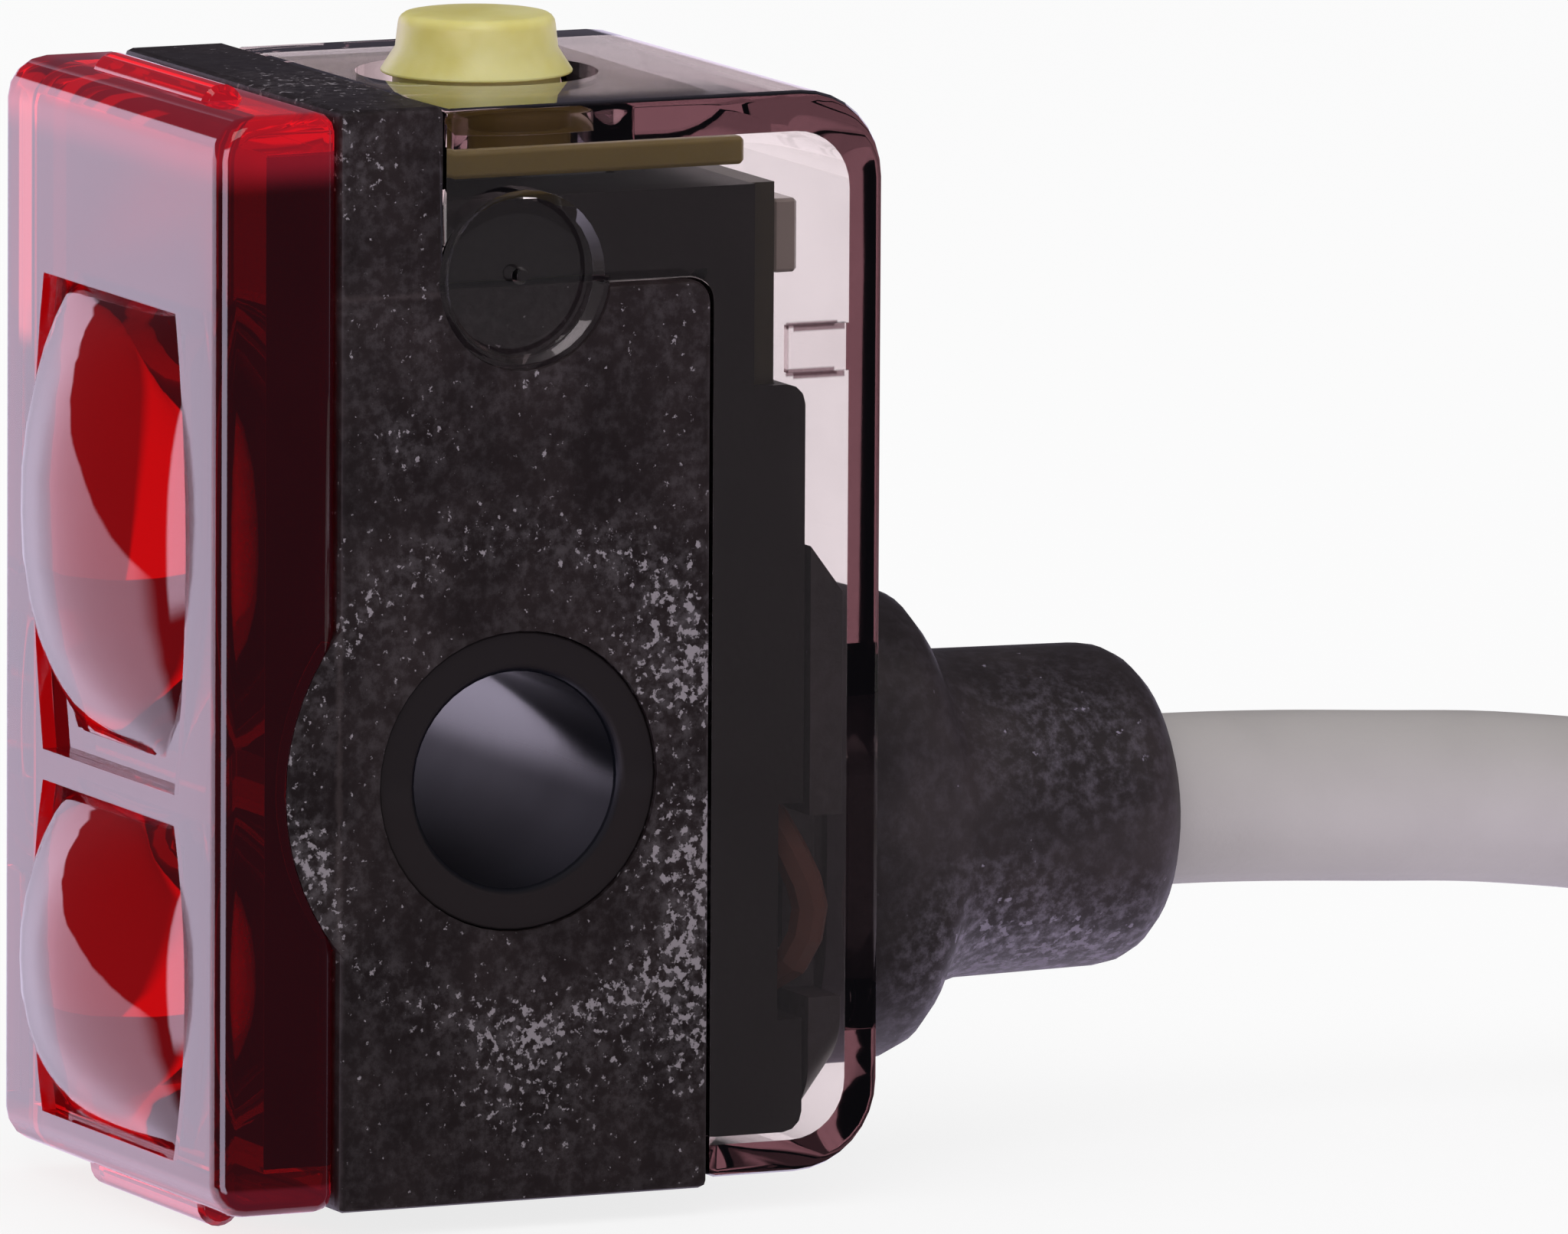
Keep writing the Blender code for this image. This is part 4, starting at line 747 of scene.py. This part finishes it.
glandLook = {
    "colour": (0.017, 0.0115, 0.0125),
    # lilac: the colour of real dust specks and of a painted sheen
    "dustAndSheen": (0.27, 0.23, 0.31),
    "dustStrength": 0.7,
    "sparse": 0.12,
    "roughness": 0.5,
    "specular": 0.5,
    "grainScale": 6000.0,
    "grainDepth": 0.008,
    "fleckScale": 4200.0,
    "haze": 0.75,
    "rounding": 0.05,
}
# dust clouds, mostly low on the gland, that also paint the floor's lilac reflection as a sheen
glandDustAndSheenClouds = [
    (place(1.6, 13.4, 2.5), 2.6, 0.9),
    (place(1.3, 15.6, 2.7), 2.0, 0.7),
    (place(2.2, 14.6, 6.2), 2.2, 0.3),
]
glandPlastic = speckledPlastic("glandElastomer", glandLook, glandDustAndSheenClouds)
glandPiece = refined("cableGland", "gland", glandPlastic, "housing", glandLook["rounding"], sharp=40)
print("gland made")


# inside the housing

insideLook = {
    "carrier": (0.0085, 0.0055, 0.0055),
    "optics": (0.05, 0.03, 0.03),
    "board": (0.04, 0.034, 0.016),
    "chip": (0.015, 0.015, 0.017),
    "resin": (0.42, 0.38, 0.33),
    "ceramic": (0.3, 0.22, 0.15),
}


def insideMaterial(name, colour, roughness, grainDepth=0.003):
    material, tree, sockets, coordinates = newMaterial(name, colour, roughness, specular=0.25)
    grain = useGroup(tree, mouldGrain, Vector=coordinates, Scale=8000.0, Patch_Scale=600.0)
    darker = tuple(c * 0.7 for c in colour)
    link(tree, mixColour(tree, grain["Patch"], (*darker, 1), (*colour, 1)), sockets["Base Color"])
    link(tree, maths(tree, "MULTIPLY_ADD", grain["Patch"], 0.2, roughness - 0.1), sockets["Roughness"])
    bump(tree, sockets, grain["Height"], grainDepth * mm)
    return material


def dress(material, *nodes):
    for node in nodes:
        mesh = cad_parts[node].data
        for k in range(len(mesh.materials)):
            mesh.materials[k] = material


carrierPlastic = insideMaterial("carrierPlastic", insideLook["carrier"], 0.55)
opticsPlastic = insideMaterial("opticsPlastic", insideLook["optics"], 0.6)
boardLaminate = insideMaterial("boardLaminate", insideLook["board"], 0.45)
chipPlastic = insideMaterial("chipPlastic", insideLook["chip"], 0.4)
lampResin = insideMaterial("lampResin", insideLook["resin"], 0.2, 0.002)
ceramicGrey = insideMaterial("capacitorCeramic", insideLook["ceramic"], 0.45)
dress(carrierPlastic, "inner_carrier")
dress(opticsPlastic, "optics_block")
dress(boardLaminate, "main_board", "switch_board", "emitter_board", "receiver_board")
dress(chipPlastic, "control_chip", "switch_base")
dress(lampResin, "status_lamp", "emitter_chip", "receiver_chip")
dress(ceramicGrey, "capacitor_1", "capacitor_2", "capacitor_3", "switch_plunger")

leadColours = {
    "lead_brown": (0.12, 0.045, 0.03),
    "lead_white": (0.65, 0.62, 0.58),
    "lead_blue": (0.03, 0.06, 0.25),
    "lead_black": (0.015, 0.014, 0.014),
}
for node, colour in leadColours.items():
    dress(insideMaterial(node.replace("_", "") + "Insulation", colour, 0.4), node)
print("inside dressed")


# plug on the cable's end

plugLook = {
    "black": (0.016, 0.014, 0.015),
    "dustAndSheen": (0.12, 0.11, 0.11),
    "nickel": (0.62, 0.6, 0.56),
    "gold": (0.83, 0.58, 0.2),
    "seal": (0.35, 0.03, 0.02),
}
gripLook = {
    "colour": plugLook["black"],
    "dustAndSheen": plugLook["dustAndSheen"],
    "dustStrength": 0.5,
    "sparse": 0.1,
    "roughness": 0.5,
    "specular": 0.4,
    "grainScale": 5000.0,
    "grainDepth": 0.01,
    "fleckScale": 4000.0,
    "haze": 0.1,
    "rounding": 0.1,
}
gripPlastic = speckledPlastic("plugGripPlastic", gripLook, [])
gripPiece = refined("plugGrip", "plug_grip", gripPlastic, "housing", gripLook["rounding"])


def metalMaterial(name, colour, roughness):
    material, tree, sockets, coordinates = newMaterial(name, colour, roughness, 1.0)
    grain = useGroup(tree, mouldGrain, Vector=coordinates, Scale=4000.0, Patch_Scale=350.0)
    dull = tuple(c * 0.75 for c in colour)
    link(tree, mixColour(tree, grain["Patch"], (*dull, 1), (*colour, 1)), sockets["Base Color"])
    link(tree, maths(tree, "MULTIPLY_ADD", grain["Patch"], 0.2, roughness - 0.08), sockets["Roughness"])
    bump(tree, sockets, grain["Height"], 0.002 * mm)
    return material


nickelPlate = metalMaterial("nickelPlate", plugLook["nickel"], 0.28)
goldPlate = metalMaterial("goldPlate", plugLook["gold"], 0.25)


# geometry nodes for the coupling ring's knurl and thread, and for the set of pins

plugStart = 50  # depth of the grip's end, where the cable enters
plugAxis = place(0, plugStart, 4.68)

ringShape = {
    "teeth": 24,
    "toothDepth": 0.2,
    "pitch": 1.0,
    "threadDepth": 0.3,
    "stepsPerTooth": 10,
}
pinSet = {
    "across": 1.45,
    "up": 2.511,
    "radius": 0.5,
    "length": 4.0,
    "start": 24.915,
}


def turnedMesh(name, axisPoint, profile, segments, weights=()):
    # a closed profile of (radius, depth) in mm turned about an axis along Y, its points with named weights
    shape = bmesh.new()
    layers = [shape.verts.layers.float.new(title) for title, values in weights]
    rows = []
    for step in range(segments):
        turn = 2 * pi * step / segments
        row = []
        for k, (radius, depth) in enumerate(profile):
            spot = Vector((radius * cos(turn), depth, radius * sin(turn))) * mm + axisPoint
            vert = shape.verts.new(spot)
            for layer, (title, values) in zip(layers, weights):
                vert[layer] = values[k]
            row.append(vert)
        rows.append(row)
    count = len(profile)
    for step in range(segments):
        here, after = rows[step], rows[(step + 1) % segments]
        for k in range(count):
            j = (k + 1) % count
            shape.faces.new((here[k], here[j], after[j], after[k]))
    bmesh.ops.recalc_face_normals(shape, faces=shape.faces)
    for face in shape.faces:
        face.smooth = True
    mesh = bpy.data.meshes.new(name)
    shape.to_mesh(mesh)
    shape.free()
    return mesh


def nodeTree(name, inputs):
    tree = bpy.data.node_groups.new(name, "GeometryNodeTree")
    tree.interface.new_socket("Geometry", in_out="INPUT", socket_type="NodeSocketGeometry")
    for title, kind, value in inputs:
        tree.interface.new_socket(title, in_out="INPUT", socket_type=kind).default_value = value
    tree.interface.new_socket("Geometry", in_out="OUTPUT", socket_type="NodeSocketGeometry")
    return tree, tree.nodes.new("NodeGroupInput").outputs, tree.nodes.new("NodeGroupOutput").inputs


def finishTree(tree, geometry, material, result):
    # real geometry with a material, out of the group
    real = tree.nodes.new("GeometryNodeRealizeInstances")
    finish = tree.nodes.new("GeometryNodeSetMaterial")
    finish.inputs["Material"].default_value = material
    link(tree, geometry, real.inputs[0])
    link(tree, real.outputs[0], finish.inputs["Geometry"])
    link(tree, finish.outputs[0], result["Geometry"])


def grown(name, startMesh, tree, values):
    # runs a tree on a mesh and gives the result as a plain mesh
    maker = bpy.data.objects.new(name + "Maker", startMesh)
    scene.collection.objects.link(maker)
    modifier = maker.modifiers.new("grow", "NODES")
    modifier.node_group = tree
    for item in tree.interface.items_tree:
        if item.item_type == "SOCKET" and item.in_out == "INPUT" and item.name in values:
            modifier[item.identifier] = values[item.name]
    graph = bpy.context.evaluated_depsgraph_get()
    mesh = bpy.data.meshes.new_from_object(maker.evaluated_get(graph))
    mesh.name = name
    maker.modifiers.clear()
    bpy.data.objects.remove(maker)
    return mesh


def knurlAndThread(material):
    # sinks grooves and thread into a turned ring as far as its points' weights say
    tree, given, result = nodeTree(
        "knurlAndThread",
        [
            ("Teeth", "NodeSocketFloat", 24.0),
            ("Tooth Depth", "NodeSocketFloat", 0.0002),
            ("Pitch", "NodeSocketFloat", 0.001),
            ("Thread Depth", "NodeSocketFloat", 0.0003),
            ("Axis", "NodeSocketVector", (0, 0, 0)),
        ],
    )
    position = tree.nodes.new("GeometryNodeInputPosition").outputs[0]
    x, y, z = splitAxes(tree, vectorMaths(tree, "SUBTRACT", position, given["Axis"]))
    turn = maths(tree, "ARCTAN2", z, x)
    weights = {}
    for title in ("knurl", "thread"):
        attribute = tree.nodes.new("GeometryNodeInputNamedAttribute")
        attribute.data_type = "FLOAT"
        attribute.inputs["Name"].default_value = title
        weights[title] = attribute.outputs["Attribute"]
    wave = maths(tree, "COSINE", times(tree, turn, given["Teeth"]))
    groove = maths(tree, "POWER", maths(tree, "MULTIPLY_ADD", wave, 0.5, 0.5), 2.5)
    cut = times(tree, groove, given["Tooth Depth"], weights["knurl"])
    along = times(tree, maths(tree, "DIVIDE", y, given["Pitch"]), 2 * pi)
    spiral = maths(tree, "COSINE", maths(tree, "SUBTRACT", along, turn))
    flank = maths(tree, "MULTIPLY_ADD", spiral, 0.5, 0.5)
    sunk = times(tree, flank, given["Thread Depth"], weights["thread"])
    inward = times(tree, maths(tree, "ADD", cut, sunk), -1.0)
    offset = tree.nodes.new("ShaderNodeCombineXYZ")
    link(tree, times(tree, inward, maths(tree, "COSINE", turn)), offset.inputs["X"])
    link(tree, times(tree, inward, maths(tree, "SINE", turn)), offset.inputs["Z"])
    move = tree.nodes.new("GeometryNodeSetPosition")
    link(tree, given["Geometry"], move.inputs["Geometry"])
    link(tree, offset.outputs[0], move.inputs["Offset"])
    finishTree(tree, move.outputs[0], material, result)
    return tree


def ringMesh(look):
    # radius and depth past plugStart, from the grip over knurl and thread to the far rim
    grip = [(3.3, 19.3), (4.5, 19.3), (4.78, 19.42), (4.9, 19.7)]
    knurled = [(4.9, 20.0 + 0.39 * k) for k in range(11)]
    neck = [(4.78, 24.38), (4.5, 24.5), (3.55, 24.5), (3.5, 24.55), (3.5, 25.05), (3.62, 25.12)]
    threaded = [(4.0, 25.3 + 0.1 * k) for k in range(34)]
    rim = [(3.85, 28.85), (3.62, 29.08), (3.4, 29.1), (3.3, 29.0)]
    runs = [grip, knurled, neck, threaded, rim]
    profile = [point for run in runs for point in run]
    knurl = [float(run is knurled) for run in runs for point in run]
    thread = [float(run is threaded) for run in runs for point in run]
    segments = look["teeth"] * look["stepsPerTooth"]
    weights = [("knurl", knurl), ("thread", thread)]
    blank = turnedMesh("couplingRing", plugAxis, profile, segments, weights)
    values = {
        "Teeth": float(look["teeth"]),
        "Tooth Depth": look["toothDepth"] * mm,
        "Pitch": look["pitch"] * mm,
        "Thread Depth": look["threadDepth"] * mm,
        "Axis": tuple(plugAxis),
    }
    return grown("couplingRing", blank, knurlAndThread(nickelPlate), values)


def pinTree(material, pin):
    # stands a pin on each corner of an upright grid
    tree, given, result = nodeTree(
        "pinSet",
        [
            ("Across", "NodeSocketFloat", 0.00145),
            ("Up", "NodeSocketFloat", 0.0025),
            ("Place", "NodeSocketVector", (0, 0, 0)),
        ],
    )
    grid = tree.nodes.new("GeometryNodeMeshGrid")
    grid.inputs["Vertices X"].default_value = 2
    grid.inputs["Vertices Y"].default_value = 2
    link(tree, given["Across"], grid.inputs["Size X"])
    link(tree, given["Up"], grid.inputs["Size Y"])
    stand = tree.nodes.new("GeometryNodeTransform")
    stand.inputs["Rotation"].default_value = (pi / 2, 0, 0)
    link(tree, grid.outputs[0], stand.inputs["Geometry"])
    link(tree, given["Place"], stand.inputs["Translation"])
    info = tree.nodes.new("GeometryNodeObjectInfo")
    info.inputs["Object"].default_value = pin
    spread = tree.nodes.new("GeometryNodeInstanceOnPoints")
    link(tree, stand.outputs[0], spread.inputs["Points"])
    link(tree, info.outputs["Geometry"], spread.inputs["Instance"])
    finishTree(tree, spread.outputs[0], material, result)
    return tree


def pinsMesh(look):
    radius, length = look["radius"], look["length"]
    turns = [radians(15 * k) for k in range(6)]
    tip = [(radius * cos(turn), length - radius + radius * sin(turn)) for turn in turns]
    profile = [(0.02, 0), (radius - 0.04, 0), (radius, 0.04), *tip, (0.02, length)]
    onePin = bpy.data.objects.new("onePin", turnedMesh("onePin", Vector((0, 0, 0)), profile, 24))
    scene.collection.objects.link(onePin)
    values = {
        "Across": look["across"] * mm,
        "Up": look["up"] * mm,
        "Place": tuple(plugAxis + Vector((0, look["start"] * mm, 0))),
    }
    mesh = grown("contactPins", bpy.data.meshes.new("empty"), pinTree(goldPlate, onePin), values)
    bpy.data.objects.remove(onePin)
    return mesh


ringPiece = addPiece("couplingRing", ringMesh(ringShape), nickelPlate, "coupling_ring", "plug_ring")
pinNodes = ["plug_pin_" + str(k) for k in range(1, 5)]
pinPiece = addPiece("contactPins", pinsMesh(pinSet), goldPlate, "housing", *pinNodes)
insertPlastic = insideMaterial("insertPlastic", plugLook["black"], 0.5)
insertPiece = refined("plugInsert", "plug_insert", insertPlastic, "housing", 0.05)
sealRubber = insideMaterial("sealRubber", plugLook["seal"], 0.5)
sealPiece = refined("plugSeal", "plug_seal", sealRubber, "coupling_ring")
print("plug made")


# floor, lamps and world

studio = {
    "floor": (0.93, 0.93, 0.935),
    "seenWhite": 0.8,
    "skyLight": 0.8,
    "darkSide": 0.07,
    "panelEdge": (0.3256, -0.2744, 0.9048),
    "panelFade": (0.03, 0.05),
    "panelFront": 2.7,
    "panelBack": 0.95,
    "highBackShade": 0.9,
    "edgePatch": 5.0,
    "patchAcross": (0.44, 0.8),
    "patchUp": (-0.4, 0.2),
    "panelColour": (0.86, 0.77, 1.0),
    "seenThrough": 1.5,
    "frontThrough": 0.16,
    "rightThrough": 0.2,
    "rearThrough": 0.9,
    "rearLine": -0.461,
    "aboveThrough": 0.9,
    "keyRadiance": 2.0,
    "underRadiance": 1.9,
}


def makeStudioView(look):
    # what gloss and clear plastic show in a direction: a lilac panel low on the left, dark on the right
    tree, given, result = newGroup(
        "studioView",
        [("Direction", "NodeSocketVector", (0, 0, 1))],
        [("Gloss", "NodeSocketFloat"), ("Through", "NodeSocketFloat")],
    )
    x, y, z = splitAxes(tree, given["Direction"])
    pastEdge = vectorMaths(tree, "DOT_PRODUCT", given["Direction"], look["panelEdge"])
    panel = inverted(tree, smoothStep(tree, pastEdge, *look["panelFade"]))
    panel = times(tree, panel, inverted(tree, smoothStep(tree, x, 0.0, 0.3)))
    drop = look["panelBack"] - look["panelFront"]
    shine = maths(tree, "MULTIPLY_ADD", smoothStep(tree, y, -0.4, 0.2), drop, look["panelFront"])
    highBack = times(tree, smoothStep(tree, z, 0.0, 0.12), smoothStep(tree, y, 0.0, 0.2))
    shine = times(tree, shine, maths(tree, "MULTIPLY_ADD", highBack, -look["highBackShade"], 1.0))
    patch = times(
        tree,
        between(tree, x, *look["patchAcross"], 0.06),
        between(tree, z, *look["patchUp"], 0.1),
        inverted(tree, smoothStep(tree, y, -0.5, -0.3)),
    )
    shown = maths(tree, "MULTIPLY_ADD", patch, look["edgePatch"], times(tree, panel, shine))
    link(tree, maths(tree, "MAXIMUM", shown, look["darkSide"]), result["Gloss"])
    left = inverted(tree, smoothStep(tree, x, -0.2, 0.1))
    back = smoothStep(tree, y, -0.05, 0.2)
    front, rear = look["frontThrough"], look["seenThrough"]
    low = maths(tree, "MULTIPLY_ADD", back, rear - front, front)
    above = times(tree, smoothStep(tree, z, 0.45, 0.9), look["aboveThrough"])
    beyond = maths(tree, "MAXIMUM", times(tree, low, left), above)
    link(tree, maths(tree, "MAXIMUM", beyond, look["rightThrough"]), result["Through"])
    return tree


studioView = makeStudioView(studio)


def rayLight(tree, direction, look):
    # level and colour of the light that a ray finds in a direction, and how glossy or clear the ray is
    path = tree.nodes.new("ShaderNodeLightPath").outputs
    seen, through = path["Is Camera Ray"], path["Is Transmission Ray"]
    glossy = times(tree, path["Is Glossy Ray"], inverted(tree, through))
    view = useGroup(tree, studioView, Direction=direction)
    level = maths(tree, "MULTIPLY_ADD", glossy, view["Gloss"], seen)
    level = maths(tree, "MULTIPLY_ADD", through, view["Through"], level)
    colour = mixColour(tree, glossy, (1, 1, 1, 1), (*look["panelColour"], 1))
    return level, colour, glossy, maths(tree, "MAXIMUM", seen, through)


def addFloor(look):
    # pale floor that the camera sees as white, and that is bright behind the clear housing
    shape = bmesh.new()
    bmesh.ops.create_grid(shape, x_segments=1, y_segments=1, size=3)
    mesh = bpy.data.meshes.new("floor")
    shape.to_mesh(mesh)
    shape.free()
    material, tree, sockets, coordinates = newMaterial("paleFloor", look["floor"], 0.9, specular=0.1)
    incoming = tree.nodes.new("ShaderNodeNewGeometry").outputs["Incoming"]
    direction = vectorMaths(tree, "MULTIPLY", incoming, (-1, -1, -1))
    level, colour, glossy, clear = rayLight(tree, direction, look)
    x, y, z = splitAxes(tree, coordinates)
    behind = smoothStep(tree, maths(tree, "MULTIPLY_ADD", x, look["rearLine"], y), -5 * mm, 0.0)
    aside = smoothStep(tree, x, 0.0, -8 * mm)
    through = tree.nodes.new("ShaderNodeLightPath").outputs["Is Transmission Ray"]
    rear = times(tree, behind, aside, through, look["rearThrough"])
    level = maths(tree, "MAXIMUM", level, rear)
    white = tree.nodes.new("ShaderNodeEmission")
    link(tree, vectorMaths(tree, "MULTIPLY", colour, level), white.inputs["Color"])
    material.cycles.emission_sampling = "NONE"
    mix = tree.nodes.new("ShaderNodeMixShader")
    link(tree, maths(tree, "MULTIPLY_ADD", clear, look["seenWhite"], glossy), mix.inputs[0])
    link(tree, tree.nodes["Principled BSDF"].outputs[0], mix.inputs[1])
    link(tree, white.outputs[0], mix.inputs[2])
    link(tree, mix.outputs[0], tree.nodes["Material Output"].inputs["Surface"])
    mesh.materials.append(material)
    floor = bpy.data.objects.new("floor", mesh)
    floor.location.z = -0.0001 * mm
    scene.collection.objects.link(floor)


def addLamp(name, spot, aim, width, height, radiance, colour=(1, 1, 1)):
    data = bpy.data.lights.new(name, "AREA")
    data.shape = "RECTANGLE"
    data.size = width * mm
    data.size_y = height * mm
    data.energy = radiance * pi * data.size * data.size_y
    data.color = colour
    lamp = bpy.data.objects.new(name, data)
    lamp.location = Vector(spot) * mm
    lamp.rotation_euler = (Vector(aim) * mm - lamp.location).to_track_quat("-Z", "Y").to_euler()
    scene.collection.objects.link(lamp)
    return lamp


def addGlow(name, low, high, radiance, colour):
    # a soft light that lies on the table and shines up, not seen itself
    middle = ((low[0] + high[0]) / 2, (low[1] + high[1]) / 2)
    width, depth = high[0] - low[0], high[1] - low[1]
    lamp = addLamp(name, (*middle, 0.5), (*middle, 90), width, depth, radiance, colour)
    lamp.rotation_euler = (pi, 0, 0)
    lamp.visible_camera = False
    lamp.visible_transmission = False
    lamp.visible_glossy = False


def addWorld(look):
    world = bpy.data.worlds.new("studioWorld")
    world.use_nodes = True
    tree = world.node_tree
    dim = tree.nodes["Background"]
    dim.inputs["Strength"].default_value = look["skyLight"]
    dim.inputs["Color"].default_value = (1, 1, 1, 1)
    direction = tree.nodes.new("ShaderNodeTexCoord").outputs["Generated"]
    level, colour, glossy, clear = rayLight(tree, direction, look)
    bright = tree.nodes.new("ShaderNodeBackground")
    link(tree, vectorMaths(tree, "MULTIPLY", colour, level), bright.inputs["Color"])
    mix = tree.nodes.new("ShaderNodeMixShader")
    link(tree, maths(tree, "ADD", clear, glossy), mix.inputs[0])
    link(tree, dim.outputs[0], mix.inputs[1])
    link(tree, bright.outputs[0], mix.inputs[2])
    link(tree, mix.outputs[0], tree.nodes["World Output"].inputs["Surface"])
    scene.world = world


addFloor(studio)
addWorld(studio)
addLamp("keySoftbox", (260, -120, 330), (0, 0, 8), 260, 260, studio["keyRadiance"])
addGlow("underCable", (4, 12), (110, 120), studio["underRadiance"], studio["panelColour"])
scene.view_settings.view_transform = "Standard"
print("stage lit")
